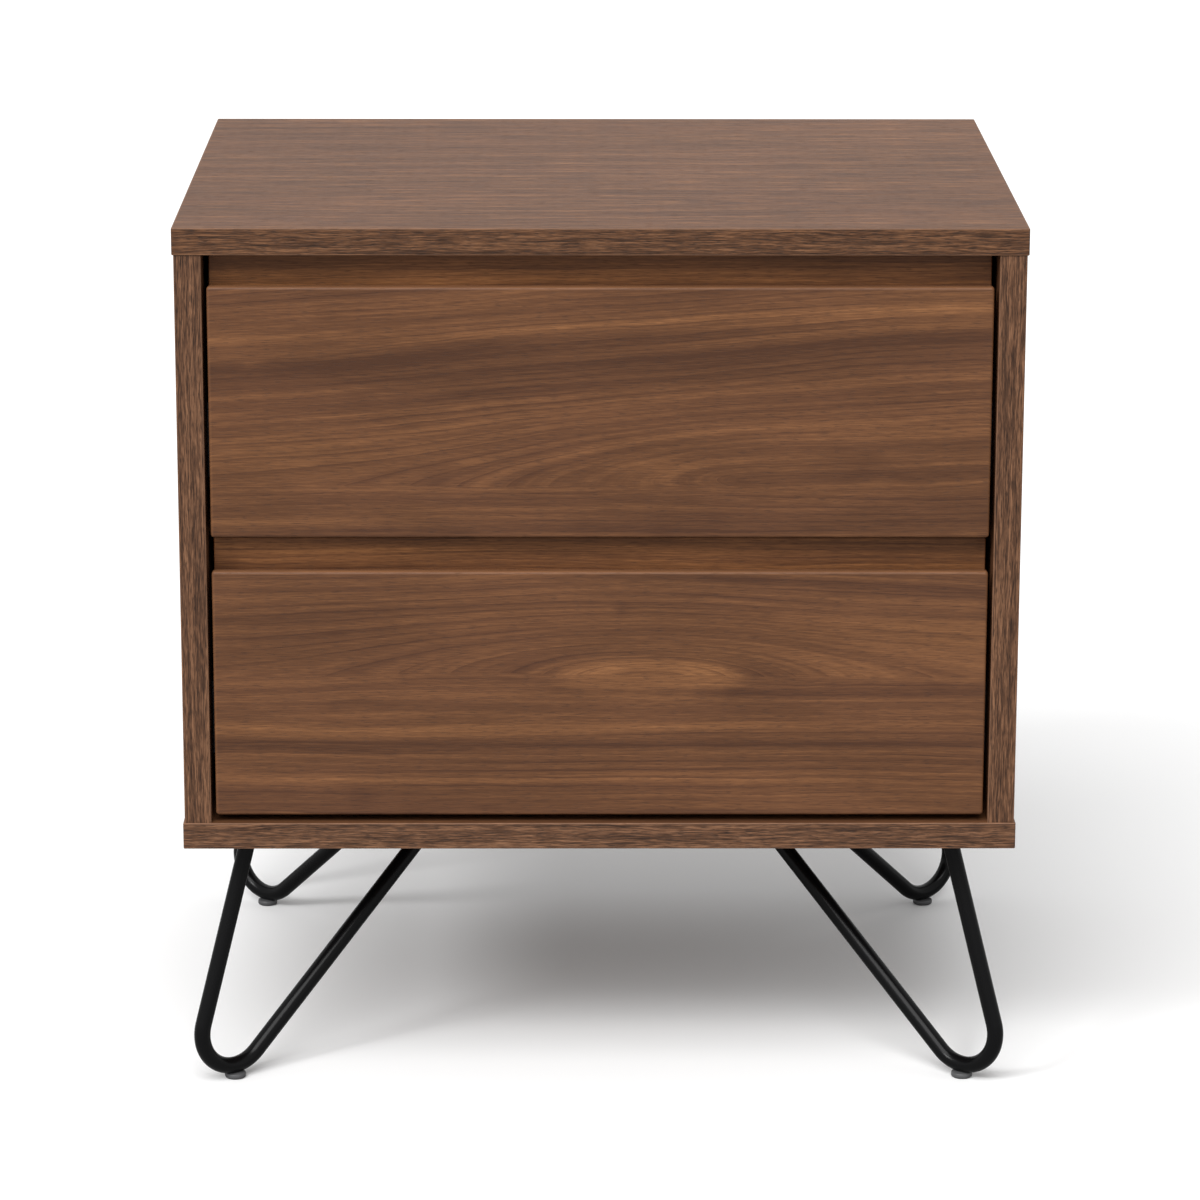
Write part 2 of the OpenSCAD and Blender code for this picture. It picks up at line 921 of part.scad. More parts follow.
module cabinet_runner_screws() {
    color(STEEL)
        both_sides()
            for (z = [UPPER_Z, LOWER_Z])
                at_cabinet_screws(z)
                    translate([-runner_steel, 0, 0])
                        countersunk_screw(cabinet_screw_l + runner_steel, runner_steel);
}

module front_left_leg_rod() {
    color(BLACK)
        leg_rod(LEFT, -1);
}

module front_right_leg_rod() {
    color(BLACK)
        leg_rod(RIGHT, -1);
}

module rear_left_leg_rod() {
    color(BLACK)
        leg_rod(LEFT, 1);
}

module rear_right_leg_rod() {
    color(BLACK)
        leg_rod(RIGHT, 1);
}

module front_left_leg_plate() {
    color(BLACK)
        leg_plate(LEFT, -1);
}

module front_right_leg_plate() {
    color(BLACK)
        leg_plate(RIGHT, -1);
}

module rear_left_leg_plate() {
    color(BLACK)
        leg_plate(LEFT, 1);
}

module rear_right_leg_plate() {
    color(BLACK)
        leg_plate(RIGHT, 1);
}

module front_left_leg_glide() {
    color(GREY)
        leg_glide(LEFT, -1);
}

module front_right_leg_glide() {
    color(GREY)
        leg_glide(RIGHT, -1);
}

module rear_left_leg_glide() {
    color(GREY)
        leg_glide(LEFT, 1);
}

module rear_right_leg_glide() {
    color(GREY)
        leg_glide(RIGHT, 1);
}

module leg_screws() {
    color(BLACK)
        for (side = [LEFT, RIGHT], end = [-1, 1])
            leg_corner(side, end)
                at_leg_screws()
                    rotate([0, -90, 0])
                        pan_screw(leg_screw_l);
}

// ---------------------------------------------------------------- sub-parts: drawers

module upper_drawer_front() {
    color(WALNUT)
        drawer_front_board(UPPER_Z);
}

module upper_drawer_inner_front() {
    color(WALNUT)
        inner_front_board(UPPER_Z);
}

module upper_drawer_left_side() {
    color(BOX_FOIL)
        mirror([1, 0, 0])
            drawer_side_board(UPPER_Z);
}

module upper_drawer_right_side() {
    color(BOX_FOIL)
        drawer_side_board(UPPER_Z);
}

module upper_drawer_back() {
    color(BOX_FOIL)
        drawer_back_board(UPPER_Z);
}

module upper_drawer_bottom() {
    color(HARDBOARD)
        drawer_bottom_board(UPPER_Z);
}

module upper_drawer_front_screws() {
    color(STEEL)
        at_front_screws(UPPER_Z)
            rotate([0, 0, -90])
                pan_screw(front_screw_l);
}

module upper_drawer_dowels() {
    color(BEECH)
        drawer_dowel_set(UPPER_Z);
}

module upper_left_runner_inner() {
    color(BLACK_ZINC)
        runner_inner(LEFT, UPPER_Z);
}

module upper_right_runner_inner() {
    color(BLACK_ZINC)
        runner_inner(RIGHT, UPPER_Z);
}

module upper_drawer_runner_screws() {
    color(STEEL)
        drawer_runner_screw_set(UPPER_Z);
}

module lower_drawer_front() {
    color(WALNUT)
        drawer_front_board(LOWER_Z);
}

module lower_drawer_inner_front() {
    color(WALNUT)
        inner_front_board(LOWER_Z);
}

module lower_drawer_left_side() {
    color(BOX_FOIL)
        mirror([1, 0, 0])
            drawer_side_board(LOWER_Z);
}

module lower_drawer_right_side() {
    color(BOX_FOIL)
        drawer_side_board(LOWER_Z);
}

module lower_drawer_back() {
    color(BOX_FOIL)
        drawer_back_board(LOWER_Z);
}

module lower_drawer_bottom() {
    color(HARDBOARD)
        drawer_bottom_board(LOWER_Z);
}

module lower_drawer_front_screws() {
    color(STEEL)
        at_front_screws(LOWER_Z)
            rotate([0, 0, -90])
                pan_screw(front_screw_l);
}

module lower_drawer_dowels() {
    color(BEECH)
        drawer_dowel_set(LOWER_Z);
}

module lower_left_runner_inner() {
    color(BLACK_ZINC)
        runner_inner(LEFT, LOWER_Z);
}

module lower_right_runner_inner() {
    color(BLACK_ZINC)
        runner_inner(RIGHT, LOWER_Z);
}

module lower_drawer_runner_screws() {
    color(STEEL)
        drawer_runner_screw_set(LOWER_Z);
}

// ---------------------------------------------------------------- sub-parts: middle members

module upper_left_runner_middle() {
    color(BLACK_ZINC)
        runner_middle(LEFT, UPPER_Z);
}

module upper_right_runner_middle() {
    color(BLACK_ZINC)
        runner_middle(RIGHT, UPPER_Z);
}

module upper_runner_ball_cages() {
    color(STEEL)
        runner_cages(UPPER_Z);
}

module lower_left_runner_middle() {
    color(BLACK_ZINC)
        runner_middle(LEFT, LOWER_Z);
}

module lower_right_runner_middle() {
    color(BLACK_ZINC)
        runner_middle(RIGHT, LOWER_Z);
}

module lower_runner_ball_cages() {
    color(STEEL)
        runner_cages(LOWER_Z);
}

top_panel();
top_panel_edge_banding();
bottom_panel();
bottom_panel_edge_banding();
left_side_panel();
right_side_panel();
left_side_edge_banding();
right_side_edge_banding();
back_panel();
cam_locks();
cam_bolts();
carcass_dowels();
upper_left_runner_outer();
upper_right_runner_outer();
lower_left_runner_outer();
lower_right_runner_outer();
cabinet_runner_screws();
front_left_leg_rod();
front_right_leg_rod();
rear_left_leg_rod();
rear_right_leg_rod();
front_left_leg_plate();
front_right_leg_plate();
rear_left_leg_plate();
rear_right_leg_plate();
front_left_leg_glide();
front_right_leg_glide();
rear_left_leg_glide();
rear_right_leg_glide();
leg_screws();
upper_drawer_front();
upper_drawer_inner_front();
upper_drawer_left_side();
upper_drawer_right_side();
upper_drawer_back();
upper_drawer_bottom();
upper_drawer_front_screws();
upper_drawer_dowels();
upper_left_runner_inner();
upper_right_runner_inner();
upper_drawer_runner_screws();
lower_drawer_front();
lower_drawer_inner_front();
lower_drawer_left_side();
lower_drawer_right_side();
lower_drawer_back();
lower_drawer_bottom();
lower_drawer_front_screws();
lower_drawer_dowels();
lower_left_runner_inner();
lower_right_runner_inner();
lower_drawer_runner_screws();
upper_left_runner_middle();
upper_right_runner_middle();
upper_runner_ball_cages();
lower_left_runner_middle();
lower_right_runner_middle();
lower_runner_ball_cages();
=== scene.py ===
"""Nightstand with two drawers on four hairpin legs: the visual model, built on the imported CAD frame.

Units are metres. The origin lies on the floor under the cabinet's middle, the front faces -Y and Z is up.
"""

import logging
import math
from dataclasses import dataclass, field
from enum import Enum
from typing import Iterable, Sequence, Union

import bpy
import numpy as np
from mathutils import Matrix, Vector


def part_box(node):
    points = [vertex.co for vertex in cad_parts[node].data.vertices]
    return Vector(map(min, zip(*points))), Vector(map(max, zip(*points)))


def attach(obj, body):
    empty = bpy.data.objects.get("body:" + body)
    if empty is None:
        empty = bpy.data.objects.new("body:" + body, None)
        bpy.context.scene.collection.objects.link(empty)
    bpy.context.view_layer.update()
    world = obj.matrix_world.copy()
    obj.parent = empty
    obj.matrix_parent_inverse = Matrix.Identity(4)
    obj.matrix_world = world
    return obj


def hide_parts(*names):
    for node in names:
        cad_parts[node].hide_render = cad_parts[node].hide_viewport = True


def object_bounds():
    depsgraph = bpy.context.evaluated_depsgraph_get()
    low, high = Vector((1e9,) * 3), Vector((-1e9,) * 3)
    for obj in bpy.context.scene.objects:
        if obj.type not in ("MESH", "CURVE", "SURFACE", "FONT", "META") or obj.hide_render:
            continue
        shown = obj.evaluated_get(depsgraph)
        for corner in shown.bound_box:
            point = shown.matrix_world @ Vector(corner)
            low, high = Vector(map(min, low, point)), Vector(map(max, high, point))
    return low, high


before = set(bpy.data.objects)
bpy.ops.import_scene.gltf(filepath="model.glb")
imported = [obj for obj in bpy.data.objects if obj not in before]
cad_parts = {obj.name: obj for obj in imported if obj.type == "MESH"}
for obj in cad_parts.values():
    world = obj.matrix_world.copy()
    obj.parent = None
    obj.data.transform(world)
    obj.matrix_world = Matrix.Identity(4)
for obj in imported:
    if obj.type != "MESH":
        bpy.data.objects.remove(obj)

LOG = logging.getLogger("nightstand")
CAD_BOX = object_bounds()
MM = 0.001
CORE_LENGTH = 40.0
MERGE = 1e-7
LIP_STEPS = 4
CREASE = math.radians(30)

Colour = tuple[float, float, float]
Box = tuple[Vector, Vector]


# ---------------------------------------------------------------- shader expressions


class Term:
    """One number of a shader graph, usable in ordinary arithmetic."""

    def __init__(self, graph: "Graph", socket: bpy.types.NodeSocket) -> None:
        """Wraps an output socket.

        Args:
            graph: The graph that new Math nodes go into.
            socket: The output socket that carries the number.
        """
        self.graph = graph
        self.socket = socket

    def __add__(self, other: "Number") -> "Term":
        """Sum."""
        return self.graph.math("ADD", self, other)

    __radd__ = __add__

    def __mul__(self, other: "Number") -> "Term":
        """Product."""
        return self.graph.math("MULTIPLY", self, other)

    __rmul__ = __mul__

    def __sub__(self, other: "Number") -> "Term":
        """Difference."""
        return self.graph.math("SUBTRACT", self, other)

    def __rsub__(self, other: "Number") -> "Term":
        """Difference with the number on the left."""
        return self.graph.math("SUBTRACT", other, self)

    def __truediv__(self, other: "Number") -> "Term":
        """Quotient."""
        return self.graph.math("DIVIDE", self, other)

    def __rtruediv__(self, other: "Number") -> "Term":
        """Quotient with the number on the left."""
        return self.graph.math("DIVIDE", other, self)

    def __pow__(self, other: "Number") -> "Term":
        """Power."""
        return self.graph.math("POWER", self, other)

    def __neg__(self) -> "Term":
        """Negative."""
        return self.graph.math("MULTIPLY", self, -1.0)

    def __abs__(self) -> "Term":
        """Absolute value."""
        return self.graph.math("ABSOLUTE", self)

    def least(self, other: "Number") -> "Term":
        """The smaller of the two."""
        return self.graph.math("MINIMUM", self, other)

    def most(self, other: "Number") -> "Term":
        """The larger of the two."""
        return self.graph.math("MAXIMUM", self, other)

    def wave(self) -> "Term":
        """Sine of the number."""
        return self.graph.math("SINE", self)

    def part(self) -> "Term":
        """Fractional part, 0 to 1."""
        return self.graph.math("FRACT", self)

    def exponential(self) -> "Term":
        """The number e raised to it."""
        return self.graph.math("EXPONENT", self)

    def root(self) -> "Term":
        """Square root."""
        return self.graph.math("SQRT", self)

    def clamp(self) -> "Term":
        """The number kept between 0 and 1."""
        return self.most(0.0).least(1.0)

    def step(self, low: float, high: float) -> "Term":
        """Smooth step.

        Args:
            low: Where the step starts at 0.
            high: Where it reaches 1. It may lie below low, for a falling step.

        Returns:
            3t^2 - 2t^3 of t = (self - low) / (high - low), clamped.
        """
        settings = {"interpolation_type": "SMOOTHSTEP"}
        rising = high > low
        ends = {"From Min": min(low, high), "From Max": max(low, high)}
        span = {"To Min": 0.0 if rising else 1.0, "To Max": 1.0 if rising else 0.0}
        made = self.graph.node("ShaderNodeMapRange", settings, {"Value": self, **ends, **span})
        return Term(self.graph, made.outputs["Result"])


Number = Union[Term, float]


class Graph:
    """The node tree of one material."""

    def __init__(self, name: str) -> None:
        """Makes an empty node material.

        Args:
            name: The material's name.
        """
        self.material = bpy.data.materials.new(name)
        self.material.use_nodes = True
        self.tree = self.material.node_tree
        self.tree.nodes.clear()

    def node(
        self,
        kind: str,
        settings: dict[str, object] | None = None,
        inputs: dict[str | int, object] | None = None,
    ) -> bpy.types.Node:
        """Adds a node.

        Args:
            kind: Blender's node type.
            settings: Attributes to set first. "stops" holds a colour ramp's (position, colour) pairs.
            inputs: Socket name or number to a value, a socket or a Term.

        Returns:
            The new node.
        """
        made = self.tree.nodes.new(kind)
        for key, value in (settings or {}).items():
            if key == "stops":
                self._ramp(made, value)
            else:
                setattr(made, key, value)
        for key, value in (inputs or {}).items():
            socket = made.inputs[key]
            if isinstance(value, Term):
                self.tree.links.new(value.socket, socket)
            elif isinstance(value, bpy.types.NodeSocket):
                self.tree.links.new(value, socket)
            else:
                socket.default_value = value
        return made

    @staticmethod
    def _ramp(node: bpy.types.Node, stops: Sequence[tuple[float, Colour]]) -> None:
        """Sets a colour ramp's stops.

        Args:
            node: The ramp node.
            stops: Positions and colours, in rising order.
        """
        elements = node.color_ramp.elements
        while len(elements) < len(stops):
            elements.new(1.0)
        for element, (position, colour) in zip(elements, stops):
            element.position = position
            element.color = (*colour, 1.0)

    def math(self, operation: str, *values: Number) -> Term:
        """Adds a Math node.

        Args:
            operation: Blender's name of the operation.
            values: One to three numbers.

        Returns:
            The node's result.
        """
        made = self.node("ShaderNodeMath", {"operation": operation}, dict(enumerate(values)))
        return Term(self, made.outputs[0])

    def place(self) -> tuple[Term, Term, Term]:
        """Object coordinates in millimetres.

        Returns:
            x, y and z.
        """
        source = self.node("ShaderNodeTexCoord").outputs["Object"]
        parts = self.node("ShaderNodeSeparateXYZ", None, {0: source})
        x, y, z = (Term(self, parts.outputs[i]) / MM for i in range(3))
        return x, y, z

    def unwrapped(self) -> tuple[Term, Term]:
        """The piece's own UV map, kept in millimetres.

        Returns:
            Distance along the strip and distance across it.
        """
        source = self.node("ShaderNodeTexCoord").outputs["UV"]
        parts = self.node("ShaderNodeSeparateXYZ", None, {0: source})
        return Term(self, parts.outputs[0]) / MM, Term(self, parts.outputs[1]) / MM

    def vector(self, x: Number, y: Number, z: Number = 0.0) -> bpy.types.NodeSocket:
        """Three numbers as one vector."""
        return self.node("ShaderNodeCombineXYZ", None, {0: x, 1: y, 2: z}).outputs[0]

    def noise(
        self, x: Number, y: Number, z: Number = 0.0, detail: float = 2.0, roughness: float = 0.5
    ) -> Term:
        """Smooth noise about one unit wide.

        Args:
            x: First coordinate, already divided by the size of a patch.
            y: Second coordinate.
            z: Third coordinate, or the seed of a flat pattern.
            detail: Octaves.
            roughness: Strength of each further octave.

        Returns:
            A number from 0 to 1, mostly 0.3 to 0.7.
        """
        values = {"Vector": self.vector(x, y, z), "Scale": 1.0, "Detail": detail, "Roughness": roughness}
        return Term(self, self.node("ShaderNodeTexNoise", None, values).outputs[0])

    def ramp(self, value: Number, stops: Sequence[tuple[float, Colour]]) -> bpy.types.NodeSocket:
        """Colour ramp.

        Args:
            value: Where on the ramp, 0 to 1.
            stops: Positions and linear colours.

        Returns:
            The colour.
        """
        return self.node("ShaderNodeValToRGB", {"stops": stops}, {0: value}).outputs[0]

    def mix(
        self, share: Number, first: object, second: object, blend: str = "MIX"
    ) -> bpy.types.NodeSocket:
        """Mixes two colours.

        Args:
            share: 0 gives the first, 1 the second.
            first: A colour or a colour socket.
            second: A colour or a colour socket.
            blend: Blender's blend mode.

        Returns:
            The mixed colour.
        """
        settings = {"data_type": "RGBA", "blend_type": blend, "clamp_factor": True}
        ends = [(*c, 1.0) if isinstance(c, tuple) else c for c in (first, second)]
        return self.node("ShaderNodeMix", settings, {0: share, 6: ends[0], 7: ends[1]}).outputs[2]

    def finish(
        self,
        colour: object,
        roughness: Number,
        height: Term | None = None,
        relief: float = 0.0,
        constants: dict[str, object] | None = None,
    ) -> bpy.types.Material:
        """Adds the surface shader and the output.

        Args:
            colour: Base colour, as a colour or a socket.
            roughness: A number or a Term.
            height: Height of the surface pattern, 0 to 1.
            relief: Depth of that pattern in metres.
            constants: Other sockets of the shader that hold one value all over.

        Returns:
            The finished material.
        """
        base = (*colour, 1.0) if isinstance(colour, tuple) else colour
        inputs: dict[str | int, object] = {"Base Color": base, "Roughness": roughness}
        inputs.update(constants or {})
        if height is not None:
            values = {"Strength": 1.0, "Distance": relief, "Height": height}
            inputs["Normal"] = self.node("ShaderNodeBump", None, values).outputs[0]
        shader = self.node("ShaderNodeBsdfPrincipled", None, inputs)
        self.node("ShaderNodeOutputMaterial", None, {"Surface": shader.outputs[0]})
        return self.material


# ---------------------------------------------------------------- finishes


class Grain(Enum):
    """Direction of a foil's grain: the axis it runs along and the two that cross it."""

    ACROSS_FRONT = ("x", "z", "y")
    OVER_TOP = ("x", "y", "z")
    UPRIGHT = ("z", "y", "x")
    BACKWARD = ("y", "z", "x")


@dataclass(frozen=True)
class Layer:
    """One layer of a surface pattern: smooth noise in patches of the given size, in millimetres.

    A flat pattern has its seed as the third coordinate, and its offset sets it apart from the other layers
    of that seed. With a window, the layer is a smooth step from the window's first value to its second. The
    weight says how far the layer pushes the value it is added to.
    """

    size: tuple[float, float, float]
    octaves: float = 2.0
    decay: float = 0.5
    weight: float = 1.0
    window: tuple[float, float] | None = None
    offset: float = 0.0

    def draw(self, g: Graph, x: Term, y: Term, z: Number) -> Term:
        """Adds the layer to a material.

        Args:
            g: The material's graph.
            x: First coordinate in millimetres.
            y: Second coordinate.
            z: Third coordinate, or the seed of a flat pattern.

        Returns:
            A number from 0 to 1.
        """
        sx, sy, sz = self.size
        third = z / sz + self.offset if self.offset else z / sz
        drawn = g.noise(x / sx, y / sy, third, self.octaves, self.decay)
        return drawn.step(*self.window) if self.window else drawn

    def push(self, drawn: Term) -> Term:
        """The layer about its middle, times its weight."""
        return (drawn - 0.5) * self.weight


@dataclass(frozen=True)
class Band:
    """A lighter or darker band across a panel, in millimetres. Its edges fade like exp(-d^2)."""

    centre: float
    half: float
    lift: float


@dataclass(frozen=True)
class Knot:
    """A lighter or darker oval patch on a panel, in millimetres.

    A patch longer than CORE_LENGTH has an even middle and a narrow rim. A shorter one fades like exp(-d^2).
    """

    along: float
    across: float
    half_along: float
    half_across: float
    lift: float


@dataclass(frozen=True)
class Figure:
    """Growth rings printed on one panel, in millimetres.

    The ring number of a point is R = sqrt(d^2 + rise^2 h), where d is its distance across the grain from
    the core, less a tilt, and a its distance along it. A whole arch has h = 1 - exp(-(a / reach)^2). A
    hooked one, open towards +a, has h falling from 1 to 0 between -reach and reach. Below the joint, the
    lines run straight. The face is where the panel's front lies, so that edges continue its lines.
    """

    core_along: float = 0.0
    core_across: float = 0.0
    rise: float = 0.0
    reach: float = 100.0
    tilt: float = 0.0
    hooked: bool = False
    joint: float | None = None
    face: float = 0.0
    seed: float = 0.0
    bands: tuple[Band, ...] = ()
    knots: tuple[Knot, ...] = ()


@dataclass(frozen=True)
class WalnutFoil:
    """Walnut-effect foil with printed rings, fibres and pores, and a satin lacquer."""

    dark: Colour = (0.078, 0.033, 0.017)
    middle: Colour = (0.135, 0.058, 0.026)
    light: Colour = (0.212, 0.092, 0.038)
    glow: Colour = (0.310, 0.138, 0.055)
    shade: Colour = (0.130, 0.055, 0.034)
    pore: Colour = (0.045, 0.022, 0.014)
    # Colour of the paler rim: partly the foil's wrapped edge, partly a painted highlight on the lit edges.
    edge: Colour = (0.30, 0.135, 0.060)
    ramp: tuple[float, float, float, float] = (0.08, 0.47, 0.76, 0.98)
    drift: Layer = Layer((230, 70, 1), 1.0, weight=12)
    wobble: Layer = Layer((42, 12, 1), offset=3, weight=2.2)
    broad: Layer = Layer((620, 15, 1), 1.0, offset=7, weight=0.72)
    medium: Layer = Layer((330, 4.6, 1), offset=11, weight=0.76)
    fine: Layer = Layer((110, 1.3, 1), 3.0, 0.6, offset=17, weight=0.52)
    fibre: Layer = Layer((15, 0.8, 1), 2.0, 0.6, offset=23, weight=0.62)
    pulse: Layer = Layer((400, 16, 1), 1.0, offset=29)
    patch: Layer = Layer((170, 30, 1), 1.0, offset=31, window=(0.38, 0.60))
    cloud: Layer = Layer((130, 40, 1), offset=37, weight=0.12, window=(0.38, 0.66))
    pores: Layer = Layer((8, 0.6, 1), 1.0, offset=41, window=(0.57, 0.70))
    flecks: Layer = Layer((34, 2.6, 1), 3.0, 0.65, offset=47)
    ring: float = 4.3
    ring_jitter: float = 2.2
    ring_depth: float = 0.30
    band_sway: float = 0.35
    knot_sway: tuple[float, float] = (9.0, 3.0)
    knot_rim: tuple[float, float] = (1.25, 0.55)
    plain_spacing: float = 0.8
    plain_start: float = 61.0
    joint_blur: float = 0.6
    rim_highlight_width: tuple[float, float] = (2.1, 0.3)
    cloud_share: float = 0.16
    pore_share: float = 0.42
    rim_highlight_share: float = 0.30
    fibre_gloss: float = 0.16
    pore_gloss: float = 0.12
    broad_gloss: float = 0.06
    pore_depth: float = 0.7
    gloss: float = 0.42
    relief: float = 0.00006

    def material(
        self,
        name: str,
        grain: Grain,
        figure: Figure,
        rim: Box | None = None,
        tint: Colour = (1.0, 1.0, 1.0),
        contrast: float = 1.0,
        sheen: float = 0.22,
        mottle: float = 0.0,
    ) -> bpy.types.Material:
        """Builds the foil for one panel.

        Args:
            name: Name of the material.
            grain: Direction of the grain.
            figure: Growth-ring picture.
            rim: Box of a panel whose left, right and upper edges are drawn lighter, partly the foil's paler
                wrapped edge and partly a painted highlight.
            tint: Colour that multiplies the whole foil.
            contrast: Strength of the printed grain.
            sheen: Reflectivity of the lacquer.
            mottle: Strength of the short flecks.

        Returns:
            The material.
        """
        g = Graph(name)
        axes = dict(zip("xyz", g.place()))
        along, across, depth = (axes[a] for a in grain.value)
        across = across + (depth - figure.face)
        seed = figure.seed
        drift = self.drift.draw(g, along, across, seed)
        wobble = self.wobble.draw(g, along, across, seed)
        shift = self.drift.push(drift) + self.wobble.push(wobble)
        radius = self._rings(g, along, across + shift, figure)
        broad = self.broad.draw(g, along, radius, seed)
        medium = self.medium.draw(g, along, radius, seed)
        fine = self.fine.draw(g, along, radius, seed)
        fibre = self.fibre.draw(g, along, across, seed)
        turn = (radius / self.ring + self.pulse.draw(g, along, radius, seed) * self.ring_jitter).part()
        line = (turn**6) * self.patch.draw(g, along, radius, seed)
        cloud = self.cloud.draw(g, along, across, seed)
        pores = self.pores.draw(g, along, across, seed)
        value = self.broad.push(broad) + self.medium.push(medium) + self.fine.push(fine)
        value = value + self.fibre.push(fibre) - line * self.ring_depth + self.cloud.push(cloud)
        value = 0.5 + value * contrast
        if mottle:
            value = value + (self.flecks.draw(g, along, across, seed) - 0.5) * mottle
        if figure.bands:
            value = self._bands(value, across + shift * self.band_sway - figure.tilt * along, figure)
        if figure.knots:
            value = self._knots(value, along, across, wobble - 0.5, figure)
        stops = list(zip(self.ramp, (self.dark, self.middle, self.light, self.glow)))
        colour = g.ramp(value.clamp(), stops)
        colour = g.mix(cloud * self.cloud_share, colour, self.shade)
        colour = g.mix(pores * self.pore_share, colour, self.pore)
        # Paints the panel's left, right and upper edges paler: partly wrapped foil, partly a painted
        # highlight.
        if rim is not None:
            colour = g.mix(self._rim_highlight(axes, rim) * self.rim_highlight_share, colour, self.edge)
        colour = g.mix(1.0, colour, tint, "MULTIPLY")
        rough = self.gloss + (fibre - 0.5) * self.fibre_gloss + pores * self.pore_gloss
        rough = rough - (broad - 0.5) * self.broad_gloss
        height = fibre * 0.5 - pores * self.pore_depth - line * self.ring_depth
        return g.finish(colour, rough, height, self.relief, {"Specular IOR Level": sheen})

    def _rings(self, g: Graph, along: Term, across: Term, figure: Figure) -> Term:
        """The ring number of each point, as Figure's docstring says.

        Args:
            g: The material's graph.
            along: Distance along the grain.
            across: Distance across the grain.
            figure: The picture's numbers.

        Returns:
            The ring number, in millimetres.
        """
        a = (along - figure.core_along) / figure.reach
        d = across - figure.core_across - figure.tilt * (along - figure.core_along)
        whole = a.step(1.0, -1.0) if figure.hooked else 1.0 - (-(a * a)).exponential()
        lift = whole * figure.rise**2
        arched = (d * d + lift).root()
        if figure.joint is None:
            return arched
        plain = (figure.joint - across) * self.plain_spacing + self.plain_start
        side = across.step(figure.joint - self.joint_blur, figure.joint + self.joint_blur)
        return plain + (arched - plain) * side

    @staticmethod
    def _bands(value: Term, across: Term, figure: Figure) -> Term:
        """Adds the figure's bands.

        Args:
            value: The grain's value.
            across: Distance across the swaying grain.
            figure: The picture.

        Returns:
            The new value.
        """
        for band in figure.bands:
            off = (across - band.centre) / band.half
            value = value + (-(off * off)).exponential() * band.lift
        return value

    def _knots(self, value: Term, along: Term, across: Term, wobble: Term, figure: Figure) -> Term:
        """Adds the figure's knots.

        Args:
            value: The grain's value.
            along: Distance along the grain.
            across: Distance across it.
            wobble: Irregularity of the outlines, about 0.
            figure: The picture.

        Returns:
            The new value.
        """
        sway_along, sway_across = self.knot_sway
        for knot in figure.knots:
            a = (along - knot.along + wobble * sway_along) / knot.half_along
            d = (across - knot.across + wobble * sway_across) / knot.half_across
            away = a * a + d * d
            core = knot.half_along > CORE_LENGTH
            spot = away.step(*self.knot_rim) if core else (-away).exponential()
            value = value + spot * knot.lift
        return value

    def _rim_highlight(self, axes: dict[str, Term], rim: Box) -> Term:
        """1 on the outermost millimetre or two of a panel's left, right and upper edges, where a paler rim
        is painted: partly the foil's wrapped edge, partly a painted highlight.

        Args:
            axes: Object coordinates in millimetres.
            rim: The panel's box in metres.

        Returns:
            The mask.
        """
        low, high = rim
        left = axes["x"] - low.x / MM
        right = high.x / MM - axes["x"]
        upper = high.z / MM - axes["z"]
        return left.least(right).least(upper).step(*self.rim_highlight_width)


@dataclass(frozen=True)
class EdgeBand:
    """Walnut-effect plastic edging: straight grain with dark dashes and veins along the strip.

    Its two long arrises, half a width from the middle, are painted paler: a painted highlight where they
    catch the light.
    """

    dark: Colour = (0.036, 0.016, 0.008)
    middle: Colour = (0.122, 0.055, 0.027)
    light: Colour = (0.262, 0.128, 0.066)
    dash_colour: Colour = (0.020, 0.010, 0.006)
    vein_colour: Colour = (0.028, 0.013, 0.008)
    # Colour of the painted highlight along both long arrises.
    arris_highlight: Colour = (0.270, 0.140, 0.080)
    ramp: tuple[float, float, float] = (0.15, 0.5, 0.85)
    bend: Layer = Layer((70, 14, 1), weight=4.0)
    strip: Layer = Layer((120, 2.6, 1), offset=5, weight=0.9)
    streak: Layer = Layer((15, 0.8, 1), 3.0, 0.65, offset=9, weight=1.9)
    dash: Layer = Layer((7, 0.6, 1), 1.0, offset=13, window=(0.54, 0.66))
    vein: Layer = Layer((55, 0.9, 1), 1.0, offset=17, window=(0.60, 0.72))
    pale: Layer = Layer((12, 0.5, 1), 1.0, offset=19, window=(0.60, 0.76))
    half: float = 8.0
    arris: tuple[float, float] = (0.9, 0.2)
    pale_lift: float = 0.18
    dash_share: float = 0.62
    vein_share: float = 0.66
    arris_highlight_share: float = 0.55
    streak_gloss: float = 0.2
    streak_height: float = 0.4
    dash_depth: float = 0.8
    gloss: float = 0.48
    relief: float = 0.00008

    def material(self, name: str, seed: float, tint: Colour = (1.0, 1.0, 1.0)) -> bpy.types.Material:
        """Builds the edging.

        Args:
            name: Name of the material.
            seed: Offset of the printed grain.
            tint: Colour that multiplies the print.

        Returns:
            The material.
        """
        g = Graph(name)
        along, across = g.unwrapped()
        line = across + self.bend.push(self.bend.draw(g, along, across, seed))
        layers = (self.strip, self.streak, self.dash, self.vein, self.pale)
        strip, streak, dash, vein, pale = (layer.draw(g, along, line, seed) for layer in layers)
        value = 0.5 + self.strip.push(strip) + self.streak.push(streak) + pale * self.pale_lift
        stops = list(zip(self.ramp, (self.dark, self.middle, self.light)))
        colour = g.ramp(value.clamp(), stops)
        colour = g.mix(dash * self.dash_share, colour, self.dash_colour)
        colour = g.mix(vein * self.vein_share, colour, self.vein_colour)
        colour = g.mix(1.0, colour, tint, "MULTIPLY")
        # The worn mask marks both long arrises, which are painted paler as a painted highlight.
        outer, inner = self.arris
        worn = abs(across).step(self.half - outer, self.half - inner)
        colour = g.mix(worn * self.arris_highlight_share, colour, self.arris_highlight)
        rough = self.gloss + (streak - 0.5) * self.streak_gloss
        height = streak * self.streak_height - dash * self.dash_depth
        return g.finish(colour, rough, height, self.relief, {"Specular IOR Level": 0.3})


